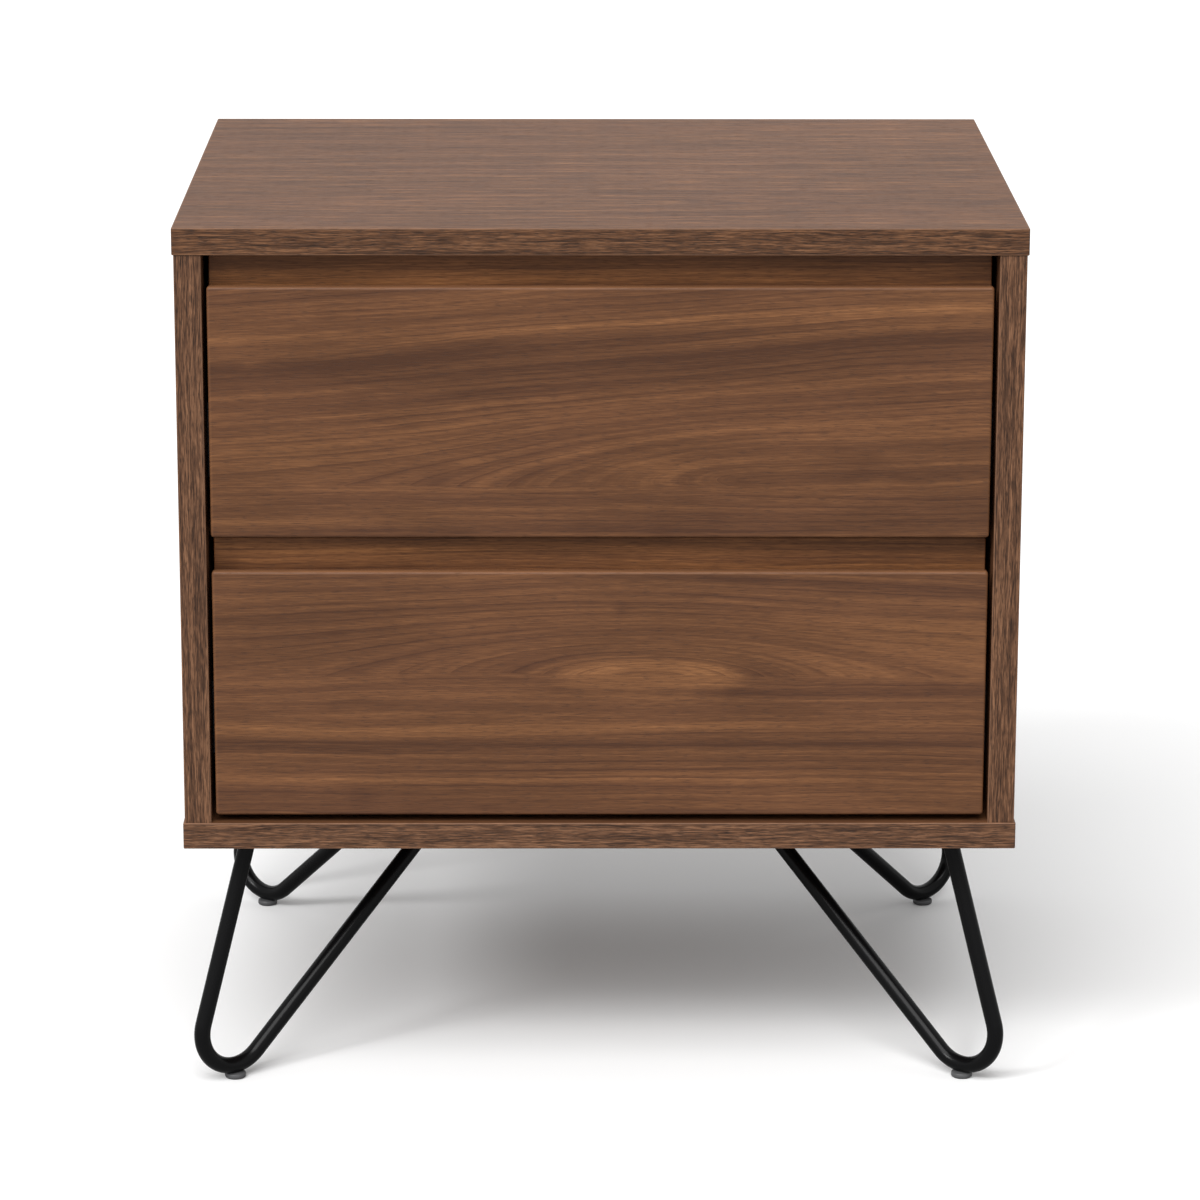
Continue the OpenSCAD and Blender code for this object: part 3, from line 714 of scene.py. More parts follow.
@dataclass(frozen=True)
class PowderCoat:
    """Black satin powder coat with a fine orange peel."""

    colour: Colour = (0.0036, 0.0036, 0.0039)
    glint: Colour = (0.020, 0.020, 0.021)
    peel: Layer = Layer((0.55, 0.55, 0.55))
    speck: Layer = Layer((0.22, 0.22, 0.22), 1.0, window=(0.60, 0.78))
    dust: Layer = Layer((30, 30, 30))
    gloss: float = 0.24
    relief: float = 0.00003

    def material(self, name: str) -> bpy.types.Material:
        """Builds the coat."""
        g = Graph(name)
        place = g.place()
        peel, speck, dust = (layer.draw(g, *place) for layer in (self.peel, self.speck, self.dust))
        colour = g.mix(speck * 0.3, self.colour, self.glint)
        rough = self.gloss + (peel - 0.5) * 0.16 + (dust - 0.5) * 0.10
        return g.finish(colour, rough, peel, self.relief, {"Specular IOR Level": 0.17})


@dataclass(frozen=True)
class Metal:
    """Plated or ground metal with drawn streaks along one axis."""

    colour: Colour
    roughness: float
    streak: tuple[float, float, float] = (9.0, 0.5, 0.5)
    metallic: float = 1.0
    mottle: float = 0.25
    spangle: Layer = Layer((6, 6, 6), 3.0, 0.6)
    spangle_edge: tuple[float, float] = (0.35, 0.65)
    tarnish: float = 0.62
    relief: float = 0.00002

    def material(self, name: str) -> bpy.types.Material:
        """Builds the metal."""
        g = Graph(name)
        place = g.place()
        drawn = Layer(self.streak, 3.0, 0.6).draw(g, *place)
        spangle = self.spangle.draw(g, *place)
        dull = tuple(c * self.tarnish for c in self.colour)
        share = spangle.step(*self.spangle_edge) * self.mottle + (drawn - 0.5) * 0.2
        colour = g.mix(share, self.colour, dull)
        rough = self.roughness + (drawn - 0.5) * 0.16 + (spangle - 0.5) * 0.14
        return g.finish(colour, rough, drawn, self.relief, {"Metallic": self.metallic})


@dataclass(frozen=True)
class Moulded:
    """Moulded plastic with a fine spark-eroded texture."""

    colour: Colour
    roughness: float = 0.45
    skin: Layer = Layer((0.3, 0.3, 0.3))
    cloud: Layer = Layer((8, 8, 8), window=(0.35, 0.7))
    bloom: float = 1.35
    relief: float = 0.00003

    def material(self, name: str) -> bpy.types.Material:
        """Builds the plastic."""
        g = Graph(name)
        place = g.place()
        skin, cloud = (layer.draw(g, *place) for layer in (self.skin, self.cloud))
        pale = tuple(min(1.0, c * self.bloom) for c in self.colour)
        colour = g.mix(cloud * 0.6, self.colour, pale)
        rough = self.roughness + (skin - 0.5) * 0.2
        return g.finish(colour, rough, skin, self.relief)


@dataclass(frozen=True)
class Hardboard:
    """Thin pressed board: printed brown face with a faint mesh and fibre flecks."""

    colour: Colour = (0.150, 0.080, 0.046)
    fleck: Colour = (0.090, 0.046, 0.028)
    worn: Colour = (0.190, 0.105, 0.062)
    mesh: float = 2.1
    fibres: Layer = Layer((1.6, 1.6, 1.6), 4.0, 0.7)
    fleck_edge: tuple[float, float] = (0.40, 0.64)
    cloud: Layer = Layer((60, 60, 60), window=(0.3, 0.7))
    gloss: float = 0.62
    relief: float = 0.00006

    def material(self, name: str) -> bpy.types.Material:
        """Builds the board."""
        g = Graph(name)
        x, y, z = g.place()
        screen = (x * self.mesh).wave() * (z * self.mesh + y * self.mesh).wave()
        fibres = self.fibres.draw(g, x, y, z)
        cloud = self.cloud.draw(g, x, y, z)
        colour = g.mix(fibres.step(*self.fleck_edge) * 0.7, self.colour, self.fleck)
        colour = g.mix(cloud * 0.3, colour, self.worn)
        rough = self.gloss + (fibres - 0.5) * 0.25
        return g.finish(colour, rough, screen * 0.2 + fibres, self.relief)


@dataclass(frozen=True)
class Beech:
    """Turned beech: pale, with short dark flecks along X."""

    colour: Colour = (0.560, 0.365, 0.200)
    late: Colour = (0.420, 0.250, 0.125)
    ray: Colour = (0.230, 0.120, 0.060)
    grain: Layer = Layer((20, 1.1, 1.1), 3.0, 0.6)
    grain_edge: tuple[float, float] = (0.3, 0.7)
    rays: Layer = Layer((2.4, 0.5, 0.5), 1.0, window=(0.58, 0.70))
    gloss: float = 0.6
    relief: float = 0.00005

    def material(self, name: str) -> bpy.types.Material:
        """Builds the wood."""
        g = Graph(name)
        place = g.place()
        grain, ray = (layer.draw(g, *place) for layer in (self.grain, self.rays))
        colour = g.mix(grain.step(*self.grain_edge) * 0.5, self.colour, self.late)
        colour = g.mix(ray * 0.5, colour, self.ray)
        return g.finish(colour, self.gloss + (grain - 0.5) * 0.2, grain - ray * 0.5, self.relief)


# ---------------------------------------------------------------- surfaces


@dataclass
class Skin:
    """A closed surface gathered from numpy grids and flat caps, with exact normals at every corner."""

    points: list[np.ndarray] = field(default_factory=list)
    normals: list[np.ndarray] = field(default_factory=list)
    uvs: list[np.ndarray] = field(default_factory=list)
    faces: list[np.ndarray] = field(default_factory=list)
    caps: list[np.ndarray] = field(default_factory=list)
    count: int = 0

    def _keep(self, points: np.ndarray, normals: np.ndarray, uv: np.ndarray | None) -> int:
        """Stores flat arrays of points.

        Args:
            points: N x 3.
            normals: N x 3.
            uv: N x 2 in metres, or None.

        Returns:
            The number of the first point.
        """
        first = self.count
        self.points.append(points)
        self.normals.append(normals)
        self.uvs.append(np.zeros((len(points), 2)) if uv is None else uv)
        self.count += len(points)
        return first

    def grid(
        self,
        points: np.ndarray,
        normals: np.ndarray,
        uv: np.ndarray | None = None,
        wrap: tuple[bool, bool] = (False, False),
    ) -> "Skin":
        """Adds a grid. Its quads join each point to the next row and the next column.

        Args:
            points: Rows x columns x 3.
            normals: Outward directions, of the same shape.
            uv: Rows x columns x 2, or None.
            wrap: Whether the last row joins the first, and the last column the first.

        Returns:
            This skin.
        """
        rows, cols = points.shape[:2]
        flat_uv = None if uv is None else uv.reshape(-1, 2)
        first = self._keep(points.reshape(-1, 3), normals.reshape(-1, 3), flat_uv)
        i = np.arange(rows if wrap[0] else rows - 1)[:, None]
        j = np.arange(cols if wrap[1] else cols - 1)[None, :]
        down, right = (i + 1) % rows, (j + 1) % cols
        corners = [i * cols + j, i * cols + right, down * cols + right, down * cols + j]
        quads = np.stack([c + 0 * (i + j) for c in corners], -1).reshape(-1, 4)
        p = points.reshape(-1, 3)[quads]
        facing = np.cross(p[:, 2] - p[:, 0], p[:, 3] - p[:, 1])
        outward = normals.reshape(-1, 3)[quads].sum(1)
        if (facing * outward).sum() < 0:
            quads = quads[:, ::-1]
        self.faces.append(quads + first)
        return self

    def cap(self, points: np.ndarray, normal: Sequence[float], uv: np.ndarray | None = None) -> "Skin":
        """Adds one flat face.

        Args:
            points: N x 3 corners in order.
            normal: Outward direction.
            uv: N x 2, or None.

        Returns:
            This skin.
        """
        direction = np.asarray(normal, float)
        turn = np.cross(points, np.roll(points, -1, 0)).sum(0) @ direction
        ordered = points if turn > 0 else points[::-1]
        flat_uv = None if uv is None else (uv if turn > 0 else uv[::-1])
        first = self._keep(ordered, np.tile(direction, (len(points), 1)), flat_uv)
        self.caps.append(np.arange(len(points)) + first)
        return self

    def join(self, other: "Skin") -> "Skin":
        """Adds another skin's surfaces to this one."""
        self.faces += [f + self.count for f in other.faces]
        self.caps += [c + self.count for c in other.caps]
        self.points += other.points
        self.normals += other.normals
        self.uvs += other.uvs
        self.count += other.count
        return self

    def moved(self, matrix: Matrix) -> "Skin":
        """A copy of this skin, turned and moved.

        Args:
            matrix: Rotation and translation.

        Returns:
            The copy.
        """
        m = np.array(matrix)
        turn, shift = m[:3, :3], m[:3, 3]
        points = [p @ turn.T + shift for p in self.points]
        normals = [n @ turn.T for n in self.normals]
        return Skin(points, normals, list(self.uvs), list(self.faces), list(self.caps), self.count)

    def build(self, name: str, material: bpy.types.Material) -> bpy.types.Object:
        """Writes the mesh: equal points are merged and faces that shrink to a line are left out.

        Args:
            name: Name of the piece.
            material: Its finish.

        Returns:
            The object, at the origin.
        """
        points = np.concatenate(self.points)
        keys = np.round(points / MERGE).astype(np.int64)
        _, keep, same = np.unique(keys, axis=0, return_index=True, return_inverse=True)
        same = same.reshape(-1)
        loops: list[np.ndarray] = []
        polygons: list[list[int]] = []
        quads = np.concatenate(self.faces) if self.faces else np.zeros((0, 4), int)
        merged = same[quads]
        shut = merged == np.roll(merged, -1, 1)
        whole = quads[shut.sum(1) == 0]
        loops.append(whole.reshape(-1))
        polygons += same[whole].tolist()
        thin = shut.sum(1) == 1
        three = quads[thin][~shut[thin]].reshape(-1, 3)
        loops.append(three.reshape(-1))
        polygons += same[three].tolist()
        for cap in self.caps:
            apart = cap[same[cap] != np.roll(same[cap], -1)]
            loops.append(apart)
            polygons.append(same[apart].tolist())
        order = np.concatenate(loops)
        mesh = bpy.data.meshes.new(name)
        mesh.from_pydata(points[keep].tolist(), [], polygons)
        mesh.polygons.foreach_set("use_smooth", [True] * len(polygons))
        layer = mesh.uv_layers.new(name="UVMap")
        layer.data.foreach_set("uv", np.concatenate(self.uvs)[order].astype(np.float32).ravel())
        mesh.normals_split_custom_set(np.concatenate(self.normals)[order].tolist())
        mesh.materials.append(material)
        made = bpy.data.objects.new(name, mesh)
        bpy.context.scene.collection.objects.link(made)
        return made


def rounded_board(box: Box, radius: float, steps: int = 4) -> Skin:
    """Board with rounded arrises and corners.

    Each point is centre + s (half - r) + r n, where n is a unit direction on a grid of longitudes and
    latitudes and s holds the signs of its octant, so the eight corner patches are joined by flat strips.

    Args:
        box: Lowest and highest corner.
        radius: Radius of the arrises.
        steps: Divisions of a quarter turn.

    Returns:
        The closed surface.
    """
    low, high = (np.array(c) for c in box)
    centre, half = (low + high) / 2, (high - low) / 2 - radius
    quarter = np.linspace(0, math.pi / 2, steps + 1)
    lon = (quarter[None, :] + np.arange(4)[:, None] * math.pi / 2).reshape(-1)
    sx = np.repeat([1, -1, -1, 1], steps + 1)
    sy = np.repeat([1, 1, -1, -1], steps + 1)
    lat = np.concatenate([quarter - math.pi / 2, quarter])[:, None]
    sz = np.repeat([-1, 1], steps + 1)[:, None]
    n = np.stack([np.cos(lat) * np.cos(lon), np.cos(lat) * np.sin(lon), np.sin(lat) + 0 * lon], -1)
    s = np.stack([sx + 0 * sz, sy + 0 * sz, sz + 0 * sx], -1)
    points = centre + s * half + radius * n
    skin = Skin().grid(points, n, wrap=(False, True))
    return skin.cap(points[0], (0, 0, -1)).cap(points[-1], (0, 0, 1))


def outline(
    corners: Sequence[tuple[float, float, float]], steps: int = 5
) -> tuple[np.ndarray, np.ndarray]:
    """Closed polygon with rounded corners.

    At a corner the outward normal turns from n1 to n2. The arc is c + k r n(t), where n(t) is the spherical
    mean of n1 and n2, k is 1 at a convex corner and -1 at a hollow one, and the centre c is the corner less
    k r (n1 + n2) / (1 + n1.n2).

    Args:
        corners: (x, y, radius) counterclockwise.
        steps: Divisions of each arc.

    Returns:
        Points and outward normals, both N x 2.
    """
    data = np.array(corners, float)
    at, radius = data[:, :2], data[:, 2:]
    ahead = np.roll(at, -1, 0) - at
    ahead /= np.linalg.norm(ahead, axis=1, keepdims=True)
    leaving = np.stack([ahead[:, 1], -ahead[:, 0]], -1)
    coming = np.roll(leaving, 1, 0)
    behind = np.roll(ahead, 1, 0)
    convex = np.sign(behind[:, 0] * ahead[:, 1] - behind[:, 1] * ahead[:, 0])[:, None]
    dot = (coming * leaving).sum(1, keepdims=True)
    centre = at - convex * radius * (coming + leaving) / (1 + dot)
    angle = np.arccos(np.clip(dot, -1, 1))[:, :, None]
    t = np.linspace(0, 1, steps + 1)[None, :, None]
    mean = np.sin((1 - t) * angle) * coming[:, None] + np.sin(t * angle) * leaving[:, None]
    mean = mean / np.sin(angle)
    points = centre[:, None] + convex[:, None] * radius[:, None] * mean
    return points.reshape(-1, 2), mean.reshape(-1, 2)


def pillowed_bar(
    shape: tuple[np.ndarray, np.ndarray], low: float, high: float, edge: float, steps: int = 5
) -> Skin:
    """Bar along X whose y-z outline shrinks by a quarter circle at both ends.

    At angle f from 0 to 90 degrees, the outline moves inward by e (1 - cos f) and the station lies
    e (1 - sin f) from the end, with the normal cos f times the outline's plus sin f along X.

    Args:
        shape: The outline's points and normals.
        low: Lowest x.
        high: Highest x.
        edge: Radius e of the end's edge.
        steps: Divisions of the quarter circle.

    Returns:
        The closed surface.
    """
    points, normals = shape
    turn = np.linspace(0, math.pi / 2, steps + 1)
    angle = np.concatenate([turn[::-1], turn])
    sign = np.repeat([-1.0, 1.0], len(turn))
    end = np.repeat([low, high], len(turn))
    x = end - sign * edge * (1 - np.sin(angle))
    inset = edge * (1 - np.cos(angle))
    flat = points[None] - inset[:, None, None] * normals[None]
    across = np.cos(angle)[:, None, None] * normals[None]
    endwise = (np.sin(angle) * sign)[:, None, None] + 0 * flat[..., :1]
    rows = np.concatenate([x[:, None, None] + 0 * flat[..., :1], flat], -1)
    skin = Skin().grid(rows, np.concatenate([endwise, across], -1), wrap=(False, True))
    return skin.cap(rows[0], (-1, 0, 0)).cap(rows[-1], (1, 0, 0))


def tube(path: np.ndarray, side: np.ndarray, radius: float, sides: int = 28) -> Skin:
    """Round rod along a flat path.

    Point = path + r (cos a (side x tangent) + sin a side), with flat ends.

    Args:
        path: N x 3 points.
        side: Unit vector square to the path's plane.
        radius: Radius of the rod.
        sides: Number of sides.

    Returns:
        The closed surface.
    """
    tangent = np.gradient(path, axis=0)
    tangent /= np.linalg.norm(tangent, axis=1, keepdims=True)
    inward = np.cross(side, tangent)
    a = np.linspace(0, 2 * math.pi, sides, endpoint=False)
    normal = np.cos(a)[None, :, None] * inward[:, None] + np.sin(a)[None, :, None] * side
    points = path[:, None] + radius * normal
    length = np.concatenate([[0], np.cumsum(np.linalg.norm(np.diff(path, axis=0), axis=1))])
    uv = np.stack([length[:, None] + 0 * a, radius * a + 0 * length[:, None]], -1)
    skin = Skin().grid(points, normal, uv, wrap=(False, True))
    return skin.cap(points[0], -tangent[0]).cap(points[-1], tangent[-1])


def band_ring(box: Box, face: float, lip: float, steps: int = 5) -> Skin:
    """Edging round a board: a strip with rounded outer arrises, carried round a rounded rectangle.

    The strip's section has its outer corners rounded by lip. Its corner arcs have radius face, so the point
    is the rectangle's point plus the section's outward distance along the rectangle's normal.

    Args:
        box: Outer box of the edging.
        face: Thickness of the strip, also its corner radius.
        lip: Radius of its outer arrises.
        steps: Divisions of each corner arc.

    Returns:
        The closed ring, with UV along and across the strip.
    """
    low, high = box
    lx, ly, hx, hy = low.x + face, low.y + face, high.x - face, high.y - face
    ring, out = outline([(lx, ly, 0), (hx, ly, 0), (hx, hy, 0), (lx, hy, 0)], steps)
    half = (high.z - low.z) / 2
    middle = (high.z + low.z) / 2
    corners = [(0, -half, 0), (face, -half, lip), (face, half, lip), (0, half, 0)]
    section, facing = outline(corners, LIP_STEPS)
    flat = ring[:, None] + section[None, :, :1] * out[:, None]
    up = middle + section[None, :, 1:] + 0 * flat[..., :1]
    normal = np.concatenate([facing[None, :, :1] * out[:, None], facing[None, :, 1:] + 0 * up], -1)
    walk = np.linalg.norm(np.diff(ring, axis=0, append=ring[:1]), axis=1)
    length = np.concatenate([[0], np.cumsum(walk)[:-1]])[:, None]
    uv = np.stack([length + 0 * section[:, 1], section[:, 1] + 0 * length], -1)
    return Skin().grid(np.concatenate([flat, up], -1), normal, uv, wrap=(True, True))


def upright_band(box: Box, front: float, lip: float) -> Skin:
    """Straight edging on a side panel's narrow edge, standing upright.

    Args:
        box: Box of the strip.
        front: -1 if it faces -Y, 1 if it faces +Y.
        lip: Radius of its two outer arrises.

    Returns:
        The closed strip, with UV up the strip and across it.
    """
    low, high = box
    outer, inner = (low.y, high.y) if front < 0 else (high.y, low.y)
    corners = [(low.x, outer, lip), (high.x, outer, lip), (high.x, inner, 0), (low.x, inner, 0)]
    section, facing = outline(corners if front < 0 else corners[::-1], LIP_STEPS)
    z = np.array([low.z, high.z])[:, None, None]
    rows = np.concatenate([section[None] + 0 * z, z + 0 * section[None, :, :1]], -1)
    normal = np.concatenate([facing[None] + 0 * z, 0 * rows[..., :1]], -1)
    middle = (low.x + high.x) / 2
    uv = np.stack([z[..., 0] + 0 * section[:, 0], section[:, 0] - middle + 0 * z[..., 0]], -1)
    skin = Skin().grid(rows, normal, uv, wrap=(False, True))
    return skin.cap(rows[0], (0, 0, -1)).cap(rows[1], (0, 0, 1))


def turned(profile: Sequence[tuple[float, float]], sides: int = 32) -> Skin:
    """Solid of revolution about Z.

    Point = (r cos a, r sin a, z). Normals come from the profile's slope, split at corners over CREASE.

    Args:
        profile: (r, z) from the axis below to the axis above.
        sides: Number of sides.

    Returns:
        The closed surface.
    """
    line = np.array(profile, float)
    step = np.diff(line, axis=0)
    slope = np.stack([step[:, 1], -step[:, 0]], -1)
    slope /= np.linalg.norm(slope, axis=1, keepdims=True)
    a = np.linspace(0, 2 * math.pi, sides, endpoint=False)
    ends = np.stack([slope, slope], 1)
    blend = slope[:-1] + slope[1:]
    blend /= np.linalg.norm(blend, axis=1, keepdims=True)
    smooth = (slope[:-1] * slope[1:]).sum(1) > math.cos(CREASE)
    ends[:-1, 1][smooth] = blend[smooth]
    ends[1:, 0][smooth] = blend[smooth]
    skin = Skin()
    for k in range(len(step)):
        pair, way = line[k : k + 2], ends[k]
        points = np.stack([pair[:, :1] * np.cos(a), pair[:, :1] * np.sin(a), pair[:, 1:] + 0 * a], -1)
        normal = np.stack([way[:, :1] * np.cos(a), way[:, :1] * np.sin(a), way[:, 1:] + 0 * a], -1)
        skin.grid(points, normal, wrap=(False, True))
    return skin


# ---------------------------------------------------------------- making and placing


class Workshop:
    """Makes pieces and ties them to the CAD: one finish of each kind, shared by all sub-assemblies."""

    def __init__(self) -> None:
        """Prepares the shared finishes."""
        self.foil = WalnutFoil()
        self.edging = EdgeBand()
        self.coat = PowderCoat().material("finish_black_powder_coat")
        even, rolled = (0.6, 0.6, 0.6), (0.6, 14.0, 0.6)
        black, black_plate = (0.035, 0.035, 0.038), (0.060, 0.060, 0.064)
        zinc, cast, polished = (0.62, 0.64, 0.66), (0.50, 0.51, 0.53), (0.78, 0.79, 0.81)
        dark_steel = Metal(black_plate, 0.40, rolled, metallic=0.85)
        ball_steel = Metal(polished, 0.16, (0.4, 0.4, 0.4), mottle=0.1)
        self.black_screw = Metal(black, 0.38, even, metallic=0.6).material("black_screw")
        self.zinc = Metal(zinc, 0.34, rolled).material("finish_zinc_steel")
        self.black_zinc = dark_steel.material("finish_black_zinc_steel")
        self.zinc_cast = Metal(cast, 0.46, (0.8, 0.8, 0.8)).material("finish_zinc_cast")
        self.bearing = ball_steel.material("finish_bearing_steel")
        self.beech = Beech().material("beech")
        self.hardboard = Hardboard().material("hardboard")
        self.glide = Moulded((0.085, 0.085, 0.088), 0.34).material("glide_plastic")
        self.pieces = 0

    def put(
        self, skin: Skin, name: str, body: str, nodes: Iterable[str], slot: str, finish: bpy.types.Material
    ) -> bpy.types.Object:
        """Builds a piece and ties it to the CAD.

        Args:
            skin: Its surface.
            name: Its name.
            body: The CAD body it rides on.
            nodes: The CAD nodes it stands for.
            slot: The record's material slot; not used.
            finish: Its material.

        Returns:
            The finished piece.
        """
        made = skin.build(name, finish)
        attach(made, body)
        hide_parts(*nodes)
        self.pieces += 1
        LOG.info("%s: %d faces on %s", name, len(made.data.polygons), body)
        return made

    def dress(self, node: str, finish: bpy.types.Material) -> None:
        """Gives a CAD node that stays in view its finish.

        Args:
            node: The node.
            finish: Its material.
        """
        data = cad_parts[node].data
        data.materials.clear()
        data.materials.append(finish)
        LOG.info("%s: CAD node in %s", node, finish.name)


@dataclass
class Cabinet:
    """Fixed box: boards, edgings, back panel and the fittings inside its joints."""

    shop: Workshop
    body: str = "carcass"
    band: float = 0.001
    arris: float = 0.0006
    seed_step: float = 20.0

    def panels(self) -> None:
        """Dresses the four boards, whose CAD shapes show the true holes for cams, bolts and dowels."""
        foil = self.shop.foil
        top = foil.material(
            "foil_top",
            Grain.OVER_TOP,
            Figure(core_along=-60, core_across=420, rise=26, reach=190, tilt=0.012, seed=51.0),
            tint=(1.10, 1.12, 1.12),
            contrast=0.80,
            sheen=0.25,
            mottle=1.7,
        )
        self.shop.dress("top_panel", top)
        base = foil.material("foil_base", Grain.OVER_TOP, Figure(core_across=-330, rise=20, seed=63.0))
        self.shop.dress("bottom_panel", base)
        for side, seed, turn in (("left", 71.0, 1), ("right", 83.0, -1)):
            across = turn * 330
            figure = Figure(core_along=300, core_across=across, rise=60, reach=210, tilt=0.02, seed=seed)
            finish = foil.material(f"foil_{side}_side", Grain.UPRIGHT, figure)
            self.shop.dress(f"{side}_side_panel", finish)
        self.shop.dress("back_panel", self.shop.hardboard)

    def edgings(self) -> None:
        """Replaces the edgings by strips with eased arrises."""
        tints = ((0.86, 0.81, 0.72), (1.0, 1.0, 1.0))
        for number, (panel, tint) in enumerate(zip(("top_panel", "bottom_panel"), tints)):
            node = f"{panel}_edge_banding"
            finish = self.shop.edging.material(f"edging_{panel}", 5.0 + self.seed_step * number, tint)
            skin = band_ring(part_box(node), self.band, self.arris)
            self.shop.put(skin, f"{panel}_edging", self.body, [node], "edge_band", finish)
        for number, side in enumerate(("left", "right")):
            node = f"{side}_side_edge_banding"
            low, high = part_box(node)
            seed = 47.0 + self.seed_step * number
            finish = self.shop.edging.material(f"edging_{side}_side", seed)
            front = (low, Vector((high.x, low.y + self.band, high.z)))
            rear = (Vector((low.x, high.y - self.band, low.z)), high)
            skin = upright_band(front, -1, self.arris).join(upright_band(rear, 1, self.arris))
            self.shop.put(skin, f"{side}_side_edging", self.body, [node], "edge_band", finish)

    def fittings(self) -> None:
        """Dresses the cams, bolts and dowels."""
        self.shop.dress("cam_locks", self.shop.zinc_cast)
        self.shop.dress("cam_bolts", self.shop.zinc)
        self.shop.dress("carcass_dowels", self.shop.beech)

    def build(self) -> None:
        """Builds the whole cabinet."""
        self.panels()
        self.edgings()
        self.fittings()


@dataclass
class Drawer:
    """One drawer: pillowed front, inner front, box, bottom and its fittings."""

    shop: Workshop
    level: str
    figure: Figure
    strip: Figure
    edge: float = 0.0020
    lip: float = 0.007
    groove: float = 0.009
    groove_depth: float = 0.015
    sharp: float = 0.0001
    hollow: float = 0.003
    least_land: float = 0.0005
    arris: float = 0.0008
    front_contrast: float = 1.14
    strip_contrast: float = 1.4
    # Multiplier that paints the recess strip brighter and warmer: painted light in the finger recess.
    strip_painted_light: Colour = (1.40, 1.33, 1.18)

    @property
    def body(self) -> str:
        """The CAD body of this drawer."""
        return f"{self.level}_drawer"

    def front(self) -> None:
        """Front board: its outline has the lip and the groove behind it, and all edges are pillowed."""
        node = f"{self.body}_front"
        low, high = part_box(node)
        e = self.edge
        floor, wall = high.z - self.groove_depth, low.y + self.lip
        land = wall + self.groove
        corners = [
            (low.y, low.z, e),
            (high.y, low.z, e),
            (high.y, floor, self.sharp),
            (land, floor, self.sharp),
            (wall, floor, self.hollow),
            (wall, high.z, e),
            (low.y, high.z, e),
        ]
        if high.y - land < self.least_land:
            corners = corners[:2] + [(high.y, floor, e)] + corners[4:]
        skin = pillowed_bar(outline(corners, 6), low.x, high.x, e)
        # The front's left, right and upper edges get the paler rim: partly wrapped foil, partly a painted
        # highlight.
        finish = self.shop.foil.material(
            f"foil_{node}", Grain.ACROSS_FRONT, self.figure, (low, high), contrast=self.front_contrast
        )
        self.shop.put(skin, f"{node}_board", self.body, [node], "walnut_foil", finish)

    def inner_front(self) -> None:
        """Inner front, seen as a strip in the finger recess. Its foil is painted brighter and warmer:
        painted light standing in for the light in the recess.
        """
        node = f"{self.body}_inner_front"
        skin = rounded_board(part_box(node), self.arris)
        finish = self.shop.foil.material(
            f"foil_{node}",
            Grain.ACROSS_FRONT,
            self.strip,
            tint=self.strip_painted_light,
            contrast=self.strip_contrast,
        )
        self.shop.put(skin, f"{node}_board", self.body, [node], "walnut_foil", finish)

    def case(self) -> None:
        """Sides, back and bottom of the box."""
        along = Figure(core_across=-120, rise=14, seed=self.figure.seed + 40)
        across = Figure(core_across=-90, rise=10, seed=self.figure.seed + 60)
        finish = self.shop.foil.material(f"foil_{self.body}_box", Grain.BACKWARD, along)
        back = self.shop.foil.material(f"foil_{self.body}_back", Grain.ACROSS_FRONT, across)
        for part, foil in (("left_side", finish), ("right_side", finish), ("back", back)):
            node = f"{self.body}_{part}"
            skin = rounded_board(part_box(node), self.arris)
            self.shop.put(skin, f"{node}_board", self.body, [node], "drawer_foil", foil)
        self.shop.dress(f"{self.body}_bottom", self.shop.hardboard)

    def fittings(self) -> None:
        """Dresses screws and dowels."""
        self.shop.dress(f"{self.body}_front_screws", self.shop.black_screw)
        self.shop.dress(f"{self.body}_runner_screws", self.shop.zinc)
        self.shop.dress(f"{self.body}_dowels", self.shop.beech)

    def build(self) -> None:
        """Builds the whole drawer."""
        self.front()
        self.inner_front()
        self.case()
        self.fittings()


@dataclass
class Runners:
    """Ball-bearing runners of one drawer."""

    shop: Workshop
    level: str

    def build(self) -> None:
        """Dresses the three members of both runners, the cages and the balls."""
        for side in ("left", "right"):
            for member in ("outer", "middle", "inner"):
                self.shop.dress(f"{self.level}_{side}_runner_{member}", self.shop.black_zinc)
        self.shop.dress(f"{self.level}_runner_ball_cages", self.shop.bearing)


